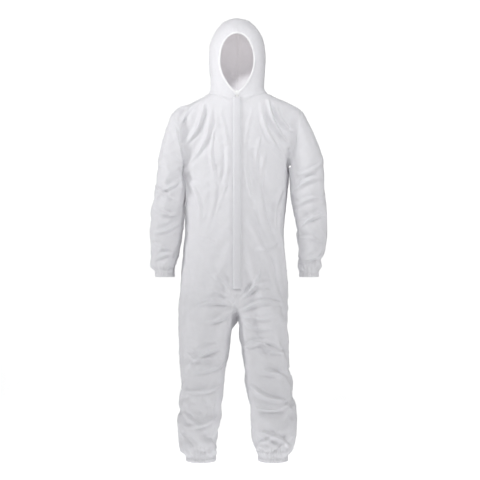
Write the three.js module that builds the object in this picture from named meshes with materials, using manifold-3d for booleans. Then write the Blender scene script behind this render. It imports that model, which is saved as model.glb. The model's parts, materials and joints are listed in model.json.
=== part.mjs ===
// A hooded disposable coverall, standing as if worn, with its zip, storm flap, elastics and folding limbs.
// Millimetres, +Z up. The front faces -Y and the wearer's left is +X. The origin is on the ground between the hems.
import * as THREE from 'three';
import { mergeVertices } from 'three/addons/utils/BufferGeometryUtils.js';
import Module from 'manifold-3d';

// ---- Driving dimensions ----------------------------------------------------------------------------------------

// Fabric and the spaces between pieces
const WALL = 2.5; // cloth, drawn thicker than it is
const SEAM_GAP = 0.4; // between two panels sewn together
const FOLD_GAP = 4; // between two shells that turn past each other
const HEAD_GAP = 3; // between an armhole and the sleeve head in it

// Lengths, from the hem upwards
const SHIN_LENGTH = 410; // hem to knee
const THIGH_LENGTH = 202; // knee to crotch
const HIP_RISE = 68; // crotch to hip axis
const WAIST_RISE = 240; // hip axis to waist
const SIDE_LENGTH = 272; // waist to the bottom of the armhole
const ARMHOLE_HEIGHT = 200;
const SHOULDER_DROP = 84; // top of the armhole to the neck
const HOOD_HEIGHT = 296; // neck to crown
const UPPER_ARM_LENGTH = 388; // top of the armhole to the elbow
const FOREARM_LENGTH = 268; // elbow to the end of the cuff

// Half widths across the body
const HIP_HALF = 216;
const WAIST_HALF = 192;
const CHEST_HALF = 208;
const SHOULDER_HALF = 254;
const NECK_HALF = 106;
const HOOD_HALF = 113;

// Depths in front of and behind the side seams
const FRONT_AT_HIP = 122;
const FRONT_AT_NECK = 89;
const SEAT_DEPTH = 121;
const WAIST_DEPTH = 106;
const BACK_DEPTH = 126;
const NECK_DEPTH = 72;
const HOOD_FRONT = 100;
const HOOD_BACK = 134;

// Limbs
const ARMHOLE_HALF = 68; // half the armhole from front to back
const SLEEVE_RADIUS = 66;
const FOREARM_RADIUS = 60;
const ELBOW_EASE = 3.5; // more than a fold's gap between the upper sleeve's shell and the forearm's
const CUFF_RADIUS = 38;
const SLEEVE_AWAY = 7; // the sleeve's inner side clears the chest by at least this much
const SLEEVE_DROP_OUT = 27; // and its middle hangs at least this far outside the shoulder
const ELBOW_OUT = 5; // how much further out the elbow is than the underarm
const THIGH_RADIUS = 98;
const THIGH_DEPTH = 98;
const SHIN_RADIUS = 88;
const KNEE_EASE = 3.5; // more than a fold's gap between the thigh's shell and the shin's
const ANKLE_RADIUS = 58;
const THIGH_REACH = 106; // from the middle of the body to the hip
const KNEE_REACH = 122;
const ANKLE_REACH = 145;

// Face opening
const FACE_HEIGHT = 228;
const FACE_HALF = 68;
const FACE_SILL = 8; // neck to the lowest point of the opening

// Hems and elastics
const HEM_HEIGHT = 18;
const HEM_WALL = 1.6;
const HEM_DEPTH = 5.4;
const ELASTIC_THICK = 1.6;
const WAIST_ELASTIC_HEIGHT = 20;
const WAIST_ELASTIC_INSET = 4; // inside the inner face of the back panels
const FACE_HEM_WIDTH = 8;
const FACE_HEM_THICK = 5;
const FACE_HEM_WALL = 1.2;
const FACE_HEM_STAND = 2.5; // in front of the hood's face

// Zip and storm flap
const ZIP_OPENING_HALF = 7; // half the space between the front edges
const CHAIN_GAP_HALF = 1.4; // half the space between the two rows of teeth
const CHAIN_WIDTH = 2.1;
const CHAIN_THICK = 2.4;
const TAPE_WIDTH = 14;
const TAPE_THICK = 0.8;
const TAPE_BEHIND = 2; // behind the inner face of the front panels, which curve back at the neck
const STOP_HEIGHT = 3;
const SLIDER_LENGTH = 12;
const SLIDER_HALF = 5.2;
const SLIDER_PLATE = 1.2;
const SLIDER_POST = 1.8;
const PULL_LENGTH = 17;
const PULL_WIDTH = 7.6;
const PULL_THICK = 1.4;
const FLAP_HALF = 20.5;
const FLAP_WALL = 1.2;
const FLAP_FOOT = 7;
const FLAP_RISE = 6.5; // room under the flap for the slider
const FLAP_ABOVE_TAIL = 6; // flap's lower end above the end of the front panels
const FLAP_BELOW_NECK = 30; // just under the end of the hanging pull
const ADHESIVE_WIDTH = 5;
const ADHESIVE_THICK = 1;

// ---- Levels and lines worked out from them ---------------------------------------------------------------------

const KNEE = SHIN_LENGTH;
const CROTCH = KNEE + THIGH_LENGTH;
const HIP = CROTCH + HIP_RISE;
const WAIST = HIP + WAIST_RISE;
const UNDERARM = WAIST + SIDE_LENGTH;
const SHOULDER = UNDERARM + ARMHOLE_HEIGHT;
const NECK = SHOULDER + SHOULDER_DROP;
const CROWN = NECK + HOOD_HEIGHT;
const ELBOW = SHOULDER - UPPER_ARM_LENGTH;
const CUFF = ELBOW - FOREARM_LENGTH;
const UNDERARM_REACH = Math.max(CHEST_HALF + SLEEVE_RADIUS + SLEEVE_AWAY, SHOULDER_HALF + SLEEVE_DROP_OUT);
const SLEEVE_REACH = UNDERARM_REACH + ELBOW_OUT; // from the middle of the body to the elbow
const FRONT_TAIL = HIP + 6; // lowest point of the front panels, at the zip
const FRONT_SLOPE = (FRONT_AT_HIP - FRONT_AT_NECK) / (NECK - HIP);

const mix = THREE.MathUtils.lerp;
const clamp = THREE.MathUtils.clamp;

/** A smooth curve through [place, value] stops, level outside them. */
function through(stops) {
  const slope = stops.map(([place, value], i) => {
    if (i === 0 || i === stops.length - 1) return 0;
    const [before, after] = [stops[i - 1], stops[i + 1]];
    const rise = (value - before[1]) / (place - before[0]);
    const next = (after[1] - value) / (after[0] - place);
    return rise * next <= 0 ? 0 : (2 * rise * next) / (rise + next);
  });
  return (place) => {
    if (place <= stops[0][0]) return stops[0][1];
    const i = stops.findIndex((stop) => place <= stop[0]);
    if (i < 0) return stops.at(-1)[1];
    const [a, b] = [stops[i - 1], stops[i]];
    const span = b[0] - a[0];
    const t = (place - a[0]) / span;
    const start = (1 + 2 * t) * (1 - t) ** 2 * a[1] + t * (1 - t) ** 2 * span * slope[i - 1];
    return start + t * t * (3 - 2 * t) * b[1] + t * t * (t - 1) * span * slope[i];
  };
}

/** The centre-front line, straight in side view so that the zip and the flap can turn and slide on it. */
const frontLine = (z) => -FRONT_AT_HIP + FRONT_SLOPE * (z - HIP);

// ---- Fabric surfaces -------------------------------------------------------------------------------------------

// A surface takes an angle round the body or limb and a height, and gives the outer face of the cloth there.
// Angle 0 is the outer side, a quarter turn the front, and minus a quarter turn the back.
const QUARTER = Math.PI / 2;

function roundSection(angle, { half, front, back, power }) {
  const depth = Math.sin(angle) > 0 ? front : back;
  const across = Math.abs(Math.cos(angle) / half) ** power;
  const along = Math.abs(Math.sin(angle) / depth) ** power;
  const reach = (across + along) ** (-1 / power);
  return [reach * Math.cos(angle), -reach * Math.sin(angle)];
}

const bodyHalf = through([
  [CROTCH, HIP_HALF - 1], [HIP, HIP_HALF], [WAIST - 70, WAIST_HALF + 5], [WAIST, WAIST_HALF],
  [WAIST + 90, WAIST_HALF + 6], [UNDERARM, CHEST_HALF], [SHOULDER, SHOULDER_HALF],
  [mix(SHOULDER, NECK, 0.24), mix(NECK_HALF, SHOULDER_HALF, 0.86)],
  [mix(SHOULDER, NECK, 0.62), mix(NECK_HALF, SHOULDER_HALF, 0.46)],
  [mix(SHOULDER, NECK, 0.81), mix(NECK_HALF, SHOULDER_HALF, 0.2)], [NECK, NECK_HALF],
]);
const bodyBack = through([
  [CROTCH, SEAT_DEPTH - 3], [HIP, SEAT_DEPTH], [WAIST, WAIST_DEPTH], [UNDERARM, BACK_DEPTH],
  [SHOULDER, BACK_DEPTH - 14], [NECK, NECK_DEPTH],
]);
const bodyPower = through([[HIP, 3], [WAIST, 2.6], [UNDERARM, 2.3], [NECK, 2.3]]);
const bodySection = (z) => ({
  half: bodyHalf(z), front: -frontLine(z), back: bodyBack(z), power: bodyPower(z),
});

function body(angle, z) {
  const [x, y] = roundSection(angle, bodySection(z));
  return new THREE.Vector3(x, y, z);
}

/** Angle on the body at which its surface lies `y` in front of or behind the side seam, at height z. */
function bodyAngle(y, z) {
  const { half, front, back, power } = bodySection(z);
  const depth = y < 0 ? front : back;
  const x = half * (1 - Math.min(Math.abs(y) / depth, 1) ** power) ** (1 / power);
  return Math.atan2(-y, x);
}

const hoodHalf = through([
  [NECK, NECK_HALF], [mix(NECK, CROWN, 0.4), HOOD_HALF], [mix(NECK, CROWN, 0.62), HOOD_HALF - 3],
  [mix(NECK, CROWN, 0.8), HOOD_HALF * 0.78], [mix(NECK, CROWN, 0.92), HOOD_HALF * 0.5],
  [mix(NECK, CROWN, 0.975), HOOD_HALF * 0.3], [CROWN, 3],
]);
const hoodFront = through([
  [NECK, FRONT_AT_NECK], [mix(NECK, CROWN, 0.4), HOOD_FRONT], [mix(NECK, CROWN, 0.75), HOOD_FRONT * 0.88],
  [mix(NECK, CROWN, 0.92), HOOD_FRONT * 0.58], [mix(NECK, CROWN, 0.975), HOOD_FRONT * 0.34], [CROWN, 3],
]);
const hoodBack = through([
  [NECK, NECK_DEPTH], [mix(NECK, CROWN, 0.35), HOOD_BACK - 8], [mix(NECK, CROWN, 0.55), HOOD_BACK],
  [mix(NECK, CROWN, 0.8), HOOD_BACK * 0.82], [mix(NECK, CROWN, 0.92), HOOD_BACK * 0.56],
  [mix(NECK, CROWN, 0.975), HOOD_BACK * 0.34], [CROWN, 3],
]);
const hoodSection = (z) => ({ half: hoodHalf(z), front: hoodFront(z), back: hoodBack(z), power: 2.3 });

function hood(angle, z) {
  const [x, y] = roundSection(angle, hoodSection(z));
  return new THREE.Vector3(x, y, z);
}

const FACE_SILL_HEIGHT = NECK + FACE_SILL;
const FACE_FULLNESS = 2.1; // how full the V's sides are
const FACE_WIDEST = 0.56; // share of the opening's height at which it is widest

/** Half the width of the face opening at height z: a V below and an arch above its widest place. */
function faceHalf(z) {
  const t = clamp((z - FACE_SILL_HEIGHT) / FACE_HEIGHT, 0, 1);
  if (t > FACE_WIDEST) return FACE_HALF * Math.sqrt(1 - ((t - FACE_WIDEST) / (1 - FACE_WIDEST)) ** 2);
  return FACE_HALF * (1 - ((FACE_WIDEST - t) / FACE_WIDEST) ** FACE_FULLNESS);
}

/** A point on the hood at height z whose distance from the middle is x, on the front. */
function hoodFrontPoint(x, z) {
  const { half, front, power } = hoodSection(z);
  const y = -front * (1 - Math.min(Math.abs(x) / half, 1) ** power) ** (1 / power);
  return new THREE.Vector3(x, y, z);
}

const armholeMiddle = (UNDERARM + SHOULDER) / 2;

/** A point on the edge of the armhole, drawn in by `inset`. Turn 0 is the top and a quarter turn the front. */
function armhole(turn, inset) {
  const z = armholeMiddle + (ARMHOLE_HEIGHT / 2 - inset) * Math.cos(turn);
  const y = -(ARMHOLE_HALF - inset) * Math.sin(turn);
  return body(bodyAngle(y, z), z);
}

// Where a limb bends, the upper shell's edge lies high on the side that closes and low on the side that opens,
// and the lower shell's edge turns inside it. On the limbs, `up` runs from 0 at the lower edge to 1 at the upper.
const ELBOW_CUT_MIDDLE = 13;
const ELBOW_CUT_TILT = SLEEVE_RADIUS - ELBOW_CUT_MIDDLE;
const FOREARM_TOP_RADIUS = SLEEVE_RADIUS - WALL - FOLD_GAP - ELBOW_EASE;
const FOREARM_EDGE_MIDDLE = 0.4 * SLEEVE_RADIUS - 1.4;
const FOREARM_EDGE_TILT = 17;
const SLEEVE_CAP = 62; // the shoulder cap ends this far below the armhole
const CAP_SHARE = 0.5; // share of the upper sleeve's rows that the cap takes

const sleeveReach = through([
  [CUFF, SLEEVE_REACH + 2], [ELBOW - 170, SLEEVE_REACH + 7], [ELBOW, SLEEVE_REACH], [UNDERARM, UNDERARM_REACH],
]);

function sleeveRing(turn, z, radius) {
  return new THREE.Vector3(sleeveReach(z) + radius * Math.cos(turn), -radius * Math.sin(turn), z);
}

function upperSleeve(turn, up) {
  const capStart = UNDERARM - SLEEVE_CAP;
  if (up < 1 - CAP_SHARE) {
    const lowerEnd = ELBOW + ELBOW_CUT_MIDDLE + ELBOW_CUT_TILT * Math.sin(turn);
    return sleeveRing(turn, mix(lowerEnd, capStart, up / (1 - CAP_SHARE)), SLEEVE_RADIUS);
  }
  const head = armhole(turn, HEAD_GAP);
  const start = sleeveRing(turn, capStart, SLEEVE_RADIUS);
  const drop = (1 - up) / CAP_SHARE;
  const out = Math.sin(drop * QUARTER);
  return new THREE.Vector3(mix(head.x, start.x, out), mix(head.y, start.y, out), mix(head.z, start.z, drop));
}

const forearmRadius = through([
  [CUFF + HEM_HEIGHT, CUFF_RADIUS], [CUFF + HEM_HEIGHT + 14, CUFF_RADIUS + 9],
  [CUFF + HEM_HEIGHT + 50, FOREARM_RADIUS - 7], [ELBOW - 120, FOREARM_RADIUS],
  [ELBOW - 60, Math.min(FOREARM_RADIUS, FOREARM_TOP_RADIUS + 3)], [ELBOW - 20, FOREARM_TOP_RADIUS],
]);

function forearm(turn, up) {
  const upperEnd = ELBOW + FOREARM_EDGE_MIDDLE + FOREARM_EDGE_TILT * Math.sin(turn);
  const z = mix(CUFF + HEM_HEIGHT + SEAM_GAP, upperEnd, up);
  return sleeveRing(turn, z, forearmRadius(z));
}

const KNEE_CUT_MIDDLE = 21;
const KNEE_CUT_TILT = THIGH_DEPTH - KNEE_CUT_MIDDLE + 1;
const THIGH_TOP_MIDDLE = 40;
const THIGH_TOP_TILT = 20;
const SHIN_EDGE_MIDDLE = 30;
const SHIN_EDGE_TILT = 35;

const thighReach = through([
  [KNEE, KNEE_REACH], [CROTCH, THIGH_REACH + 5], [HIP, THIGH_REACH + 1], [HIP + 60, THIGH_REACH],
]);
const thighHalf = through([
  [KNEE - 60, THIGH_RADIUS - 1], [KNEE + 90, THIGH_RADIUS + 2], [CROTCH - 20, THIGH_RADIUS + 7],
  [HIP - 26, THIGH_RADIUS + 2], [HIP, THIGH_RADIUS],
]);

function thigh(angle, up) {
  const lowerEnd = KNEE + KNEE_CUT_MIDDLE - KNEE_CUT_TILT * Math.sin(angle);
  const upperEnd = HIP + THIGH_TOP_MIDDLE + THIGH_TOP_TILT * Math.sin(angle);
  const z = mix(lowerEnd, upperEnd, up);
  const [x, y] = roundSection(angle, { half: thighHalf(z), front: THIGH_DEPTH, back: THIGH_DEPTH, power: 2.1 });
  return new THREE.Vector3(thighReach(z) + x, y, z);
}

const shinReach = through([
  [0, ANKLE_REACH - 1], [84, ANKLE_REACH + 4], [212, ANKLE_REACH], [KNEE - 100, KNEE_REACH + 9], [KNEE, KNEE_REACH],
]);
/** Half a shin's width or depth, which at the knee fits inside that of the thigh. */
const shinRadius = (thighRadius) => {
  const atKnee = thighRadius - WALL - FOLD_GAP - KNEE_EASE;
  return through([
    [HEM_HEIGHT, ANKLE_RADIUS], [HEM_HEIGHT + 18, ANKLE_RADIUS + 14], [HEM_HEIGHT + 62, SHIN_RADIUS - 5],
    [212, SHIN_RADIUS + 2], [KNEE - 110, Math.min(SHIN_RADIUS, atKnee) + 3], [KNEE - 60, atKnee],
  ]);
};
const shinHalf = shinRadius(THIGH_RADIUS);
const shinDepth = shinRadius(THIGH_DEPTH);

function shin(angle, up) {
  const upperEnd = KNEE + SHIN_EDGE_MIDDLE - SHIN_EDGE_TILT * Math.sin(angle);
  const z = mix(HEM_HEIGHT + SEAM_GAP, upperEnd, up);
  const depth = shinDepth(z);
  const [x, y] = roundSection(angle, { half: shinHalf(z), front: depth, back: depth, power: 2.1 });
  return new THREE.Vector3(shinReach(z) + x, y, z);
}

// ---- Turning surfaces into closed shells -----------------------------------------------------------------------

/** The point `depth` under a surface whose first value turns outer side to front and whose second value rises. */
function under(surface, angle, up, depth, step = 1e-3) {
  const point = surface(angle, up);
  if (depth === 0) return point;
  const round = surface(angle + step, up).sub(surface(angle - step, up));
  const rise = surface(angle, up + step).sub(surface(angle, up - step));
  return point.addScaledVector(rise.cross(round).normalize(), -depth);
}

/** Turns a closed mesh the right way out. */
function facingOut(geometry) {
  const p = geometry.attributes.position;
  const index = geometry.index.array;
  const [a, b, c] = [new THREE.Vector3(), new THREE.Vector3(), new THREE.Vector3()];
  let volume = 0;
  for (let i = 0; i < index.length; i += 3) {
    a.fromBufferAttribute(p, index[i]);
    b.fromBufferAttribute(p, index[i + 1]);
    c.fromBufferAttribute(p, index[i + 2]);
    volume += a.dot(b.cross(c));
  }
  if (volume < 0) {
    for (let i = 0; i < index.length; i += 3) [index[i], index[i + 1]] = [index[i + 1], index[i]];
  }
  geometry.computeVertexNormals();
  return geometry;
}

/** A panel: a flat block bent so that its points follow place(s, t, depth), with s and t from 0 to 1. */
function panel(place, across, along, thick = WALL) {
  const geometry = new THREE.BoxGeometry(1, 1, 1, across, along, 1);
  const p = geometry.attributes.position;
  for (let i = 0; i < p.count; i++) {
    const point = place(p.getX(i) + 0.5, p.getY(i) + 0.5, p.getZ(i) > 0 ? 0 : thick);
    p.setXYZ(i, point.x, point.y, point.z);
  }
  return facingOut(geometry);
}

/** A ring turned on a lathe from a closed profile, each of its points then put at place(turn, x, y). */
function ring(profile, around, place) {
  const closed = [...profile, profile[0]].map(([x, y]) => new THREE.Vector2(x, y));
  const geometry = new THREE.LatheGeometry(closed, around);
  const p = geometry.attributes.position;
  for (let i = 0; i < p.count; i++) {
    const turn = ((Math.floor(i / closed.length) % around) / around) * 2 * Math.PI;
    const corner = closed[i % closed.length];
    const point = place(turn, corner.x, corner.y);
    p.setXYZ(i, point.x, point.y, point.z);
  }
  return facingOut(geometry);
}

/** A tube of cloth that follows a limb's surface. */
function tube(surface, around, rows, thick = WALL) {
  const outer = Array.from({ length: rows + 1 }, (_, j) => [2, j / rows]);
  const inner = outer.map(([, up]) => [1, up]).reverse();
  return ring([...outer, ...inner], around, (turn, side, up) => under(surface, turn, up, side > 1.5 ? 0 : thick));
}

/** The same piece for the other side of the body. */
function mirrored(geometry) {
  return facingOut(geometry.clone().scale(-1, 1, 1));
}

const suit = new THREE.Group();

const finish = {
  fabric: { color: '#f0f0ef', roughness: 0.85, metalness: 0 },
  binding: { color: '#fafafa', roughness: 0.8, metalness: 0 },
  elastic: { color: '#e9e7e2', roughness: 0.9, metalness: 0 },
  zip_tape: { color: '#f1f1f0', roughness: 0.8, metalness: 0 },
  nylon: { color: '#f4f4f2', roughness: 0.4, metalness: 0 },
  adhesive: { color: '#e4e2da', roughness: 0.35, metalness: 0 },
};

function add(name, geometry, kind, parent = suit) {
  const mesh = new THREE.Mesh(geometry, new THREE.MeshStandardMaterial(finish[kind]));
  mesh.name = name;
  parent.add(mesh);
  return mesh;
}

function addPair(name, geometry, kind) {
  add(`left_${name}`, geometry, kind);
  add(`right_${name}`, mirrored(geometry), kind);
}

// ---- Body panels -----------------------------------------------------------------------------------------------

const BACK_EDGE = HIP - 56; // lower edge of the back panels
const SIDE_EDGE = HIP - 10; // lower edge at the side seam
const THIGH_EDGE = HIP + 62; // lower edge over the front of each thigh
const smooth = THREE.MathUtils.smoothstep;

/** How far round from the side seam a body panel starts at height z: nothing, or round the armhole. */
function sideEdge(z, side) {
  const lift = (z - armholeMiddle) / (ARMHOLE_HEIGHT / 2);
  const hole = Math.abs(lift) < 1 ? ARMHOLE_HALF * Math.sqrt(1 - lift * lift) : 0;
  return bodyAngle(side * Math.max(hole, SEAM_GAP / 2), z);
}

function frontPanel(s, t, depth) {
  const fromMiddle = body(mix(0, QUARTER, s), HIP).x;
  const tail = 1 - smooth(fromMiddle, 24, 84);
  const side = smooth(fromMiddle, 150, HIP_HALF);
  const bottom = mix(mix(THIGH_EDGE, SIDE_EDGE, side), FRONT_TAIL, tail);
  const z = mix(bottom, NECK - 2, t);
  const zipEdge = Math.atan2(-frontLine(z), ZIP_OPENING_HALF);
  return under(body, mix(sideEdge(z, -1), zipEdge, s), z, depth);
}

function backPanel(s, t, depth) {
  const side = smooth(body(mix(0, QUARTER, s), HIP).x, 130, HIP_HALF);
  const z = mix(mix(BACK_EDGE, SIDE_EDGE, side), NECK - 2, t);
  const middle = -Math.atan2(bodyBack(z), SEAM_GAP / 2);
  return under(body, mix(sideEdge(z, 1), middle, s), z, depth);
}

addPair('front_panel', panel(frontPanel, 9, 20), 'fabric');
addPair('back_panel', panel(backPanel, 8, 20), 'fabric');

const waistElastic = (s, t, depth) => {
  const z = WAIST + mix(-0.5, 0.5, t) * WAIST_ELASTIC_HEIGHT;
  return under(body, mix(-0.3, 0.3 - Math.PI, s), z, WALL + WAIST_ELASTIC_INSET + depth);
};
add('waist_elastic', panel(waistElastic, 18, 1, ELASTIC_THICK), 'elastic');

// ---- Limbs -----------------------------------------------------------------------------------------------------

addPair('upper_sleeve', tube(upperSleeve, 20, 10), 'fabric');
addPair('forearm_sleeve', tube(forearm, 18, 8), 'fabric');

/** Half of a leg tube: side 1 is the front and -1 the back. */
function legPanel(surface, side, radius) {
  const gap = SEAM_GAP / 2 / radius;
  return panel((s, t, depth) => under(surface, side * mix(gap, Math.PI - gap, s), t, depth), 10, 6);
}

addPair('thigh_front', legPanel(thigh, 1, THIGH_RADIUS), 'fabric');
addPair('thigh_back', legPanel(thigh, -1, THIGH_RADIUS), 'fabric');
addPair('shin_front', legPanel(shin, 1, SHIN_RADIUS), 'fabric');
addPair('shin_back', legPanel(shin, -1, SHIN_RADIUS), 'fabric');

/** A turned-in hem, open on its inner side, and the elastic that runs inside it. */
function addHem(name, radius, base, reach) {
  const place = (turn, x, y) => new THREE.Vector3(reach + x * Math.cos(turn), -x * Math.sin(turn), y);
  const [top, inside, back] = [base + HEM_HEIGHT, radius - HEM_DEPTH, radius - HEM_WALL];
  const hem = [
    [inside, base], [radius, base], [radius, top], [inside, top],
    [inside, top - HEM_WALL], [back, top - HEM_WALL], [back, base + HEM_WALL], [inside, base + HEM_WALL],
  ];
  addPair(`${name}_hem`, ring(hem, 20, place), 'fabric');
  const [outer, low, high] = [back - SEAM_GAP, base + HEM_WALL + 1, top - HEM_WALL - 1];
  const band = [[outer - ELASTIC_THICK, low], [outer, low], [outer, high], [outer - ELASTIC_THICK, high]];
  addPair(`${name}_elastic`, ring(band, 20, place), 'elastic');
}

addHem('cuff', CUFF_RADIUS, CUFF, sleeveReach(CUFF));
addHem('ankle', ANKLE_RADIUS, 0, shinReach(0));

// ---- Hood ------------------------------------------------------------------------------------------------------

const HOOD_ABOVE_NECK = 3;
const hoodRows = through([[0, 0], [0.7, 0.86], [1, 1]]); // rows crowd together at the crown

function hoodPanel(s, t, depth) {
  const z = mix(NECK + HOOD_ABOVE_NECK, CROWN - 0.5, hoodRows(t));
  const open = z < FACE_SILL_HEIGHT + FACE_HEIGHT ? faceHalf(z) : 0;
  const edge = hoodFrontPoint(Math.max(open, SEAM_GAP / 2), z);
  const angle = mix(-Math.atan2(hoodBack(z), SEAM_GAP / 2), Math.atan2(-edge.y, edge.x), s);
  const point = under(hood, angle, z, depth);
  point.x = Math.max(point.x, SEAM_GAP / 2);
  return point;
}

addPair('hood_panel', panel(hoodPanel, 12, 16), 'fabric');

/** A point of the loop round the face opening. Turn 0 is the top; `inward` is measured towards its middle. */
function faceLoop(turn, inward, depth) {
  const z = FACE_SILL_HEIGHT + (FACE_HEIGHT * (1 + Math.cos(turn))) / 2;
  const edge = hoodFrontPoint(Math.sign(Math.sin(turn)) * faceHalf(z), z);
  const middle = new THREE.Vector3(0, edge.y, FACE_SILL_HEIGHT + FACE_HEIGHT * 0.55);
  const towards = middle.sub(edge).setY(0).normalize();
  return edge.addScaledVector(towards, inward).add(new THREE.Vector3(0, depth, 0));
}

/** The face hem is a turned-in channel, open towards the face, that stands on the front of the hood. */
const [hemBack, hemFront] = [-FACE_HEM_STAND, -FACE_HEM_STAND - FACE_HEM_THICK];
const faceHem = [
  [0, hemBack], [0, hemFront], [FACE_HEM_WIDTH, hemFront], [FACE_HEM_WIDTH, hemFront + FACE_HEM_WALL],
  [FACE_HEM_WALL, hemFront + FACE_HEM_WALL], [FACE_HEM_WALL, hemBack - FACE_HEM_WALL],
  [FACE_HEM_WIDTH, hemBack - FACE_HEM_WALL], [FACE_HEM_WIDTH, hemBack],
];
add('face_hem', ring(faceHem, 36, faceLoop), 'binding');
const [elasticNear, elasticFar] = [FACE_HEM_WALL + SEAM_GAP, FACE_HEM_WIDTH - 1];
const [elasticFront, elasticBack] = [hemFront + FACE_HEM_WALL + SEAM_GAP, hemBack - FACE_HEM_WALL - SEAM_GAP];
const faceElastic = [
  [elasticNear, elasticFront], [elasticFar, elasticFront], [elasticFar, elasticBack], [elasticNear, elasticBack],
];
add('face_elastic', ring(faceElastic, 36, faceLoop), 'elastic');

// ---- Zip and storm flap ----------------------------------------------------------------------------------------

// Their own frame: z runs up the centre-front line from hip height, and the cloth's face is at y = 0.
const front = new THREE.Group();
front.position.set(0, frontLine(HIP), HIP);
front.rotation.x = -Math.atan(FRONT_SLOPE);
suit.add(front);

const LINE_STRETCH = Math.hypot(1, FRONT_SLOPE);
const upLine = (z) => (z - HIP) * LINE_STRETCH;
const chainY = WALL + TAPE_BEHIND + TAPE_THICK / 2;
const stopBase = upLine(FRONT_TAIL) + 8;
const chainBase = stopBase + STOP_HEIGHT + SEAM_GAP;
const chainTop = upLine(NECK) - 4;
const sliderBase = chainTop - SLIDER_LENGTH - 1;

/** A block given by its corners in the zip's frame. */
function block(x0, x1, y0, y1, z0, z1) {
  const geometry = new THREE.BoxGeometry(x1 - x0, y1 - y0, z1 - z0);
  return geometry.translate((x0 + x1) / 2, (y0 + y1) / 2, (z0 + z1) / 2);
}

/** A cross-section drawn in x and y and run up the zip's line from z0 to z1. */
function strip(outline, z0, z1) {
  const shape = new THREE.Shape(outline.map(([x, y]) => new THREE.Vector2(x, y)));
  return new THREE.ExtrudeGeometry(shape, { depth: z1 - z0, bevelEnabled: false }).translate(0, 0, z0);
}

const chainOuter = CHAIN_GAP_HALF + CHAIN_WIDTH;
const [chainFront, chainBack] = [chainY - CHAIN_THICK / 2, chainY + CHAIN_THICK / 2];
const tapeInner = chainOuter + SEAM_GAP;
const [tapeFront, tapeBack] = [WALL + TAPE_BEHIND, WALL + TAPE_BEHIND + TAPE_THICK];

for (const [side, sign] of [['left', 1], ['right', -1]]) {
  const across = (a, b) => (sign > 0 ? [a, b] : [-b, -a]);
  const tape = block(...across(tapeInner, tapeInner + TAPE_WIDTH), tapeFront, tapeBack, stopBase - 6, chainTop + 2);
  add(`zip_tape_${side}`, tape, 'zip_tape', front);
  const chain = block(...across(CHAIN_GAP_HALF, chainOuter), chainFront, chainBack, chainBase, chainTop);
  add(`zip_chain_${side}`, chain, 'nylon', front);
  const stop = block(
    ...across(CHAIN_GAP_HALF, chainOuter), chainFront, chainBack, chainTop + SEAM_GAP, chainTop + 2,
  );
  add(`zip_top_stop_${side}`, stop, 'nylon', front);
}
const bottomStop = block(-chainOuter, chainOuter, chainFront, chainBack, stopBase, stopBase + STOP_HEIGHT);
add('zip_bottom_stop', bottomStop, 'nylon', front);

// The slider: two plates joined by the post that runs between the teeth, with a bridge that the pull hangs on.
const plateFront = chainFront - SEAM_GAP - SLIDER_PLATE;
const plateBack = chainBack + SEAM_GAP + SLIDER_PLATE;
const BRIDGE_ROOM = 3.2;
const BRIDGE_BAR = 1.2;
const BRIDGE_HALF = 1.2;
const BRIDGE_LENGTH = 7.4;

const wasm = await Module();
wasm.setup();

function toSolid(geometry) {
  const bare = new THREE.BufferGeometry();
  bare.setAttribute('position', geometry.attributes.position);
  if (geometry.index) bare.setIndex(geometry.index);
  const merged = mergeVertices(bare, 1e-4);
  return new wasm.Manifold(new wasm.Mesh({
    numProp: 3,
    vertProperties: new Float32Array(merged.attributes.position.array),
    triVerts: new Uint32Array(merged.index.array),
  }));
}

function fromSolid(solid) {
  const mesh = solid.getMesh();
  const geometry = new THREE.BufferGeometry();
  geometry.setAttribute('position', new THREE.BufferAttribute(mesh.vertProperties, mesh.numProp));
  geometry.setIndex(new THREE.BufferAttribute(mesh.triVerts, 1));
  geometry.computeVertexNormals();
  return geometry;
}

const post = SLIDER_POST / 2;
const sliderBody = strip([
  [-SLIDER_HALF, plateFront], [SLIDER_HALF, plateFront], [SLIDER_HALF, plateFront + SLIDER_PLATE],
  [post, plateFront + SLIDER_PLATE], [post, plateBack - SLIDER_PLATE], [SLIDER_HALF, plateBack - SLIDER_PLATE],
  [SLIDER_HALF, plateBack], [-SLIDER_HALF, plateBack], [-SLIDER_HALF, plateBack - SLIDER_PLATE],
  [-post, plateBack - SLIDER_PLATE], [-post, plateFront + SLIDER_PLATE], [-SLIDER_HALF, plateFront + SLIDER_PLATE],
], sliderBase, sliderBase + SLIDER_LENGTH);
const bridgeMiddle = sliderBase + SLIDER_LENGTH / 2;
const [bridgeLow, bridgeHigh] = [bridgeMiddle - BRIDGE_LENGTH / 2, bridgeMiddle + BRIDGE_LENGTH / 2];
const bridgeTop = plateFront - BRIDGE_ROOM - BRIDGE_BAR;
const bridgeBlock = block(-BRIDGE_HALF, BRIDGE_HALF, bridgeTop, plateFront + 0.5, bridgeLow, bridgeHigh);
const bridgeHole = block(
  -BRIDGE_HALF - 1, BRIDGE_HALF + 1, bridgeTop + BRIDGE_BAR, plateFront, bridgeLow + BRIDGE_BAR, bridgeHigh - BRIDGE_BAR,
);
const slider = toSolid(sliderBody).add(toSolid(bridgeBlock).subtract(toSolid(bridgeHole)));
add('zip_slider', fromSolid(slider), 'nylon', front);

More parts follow.
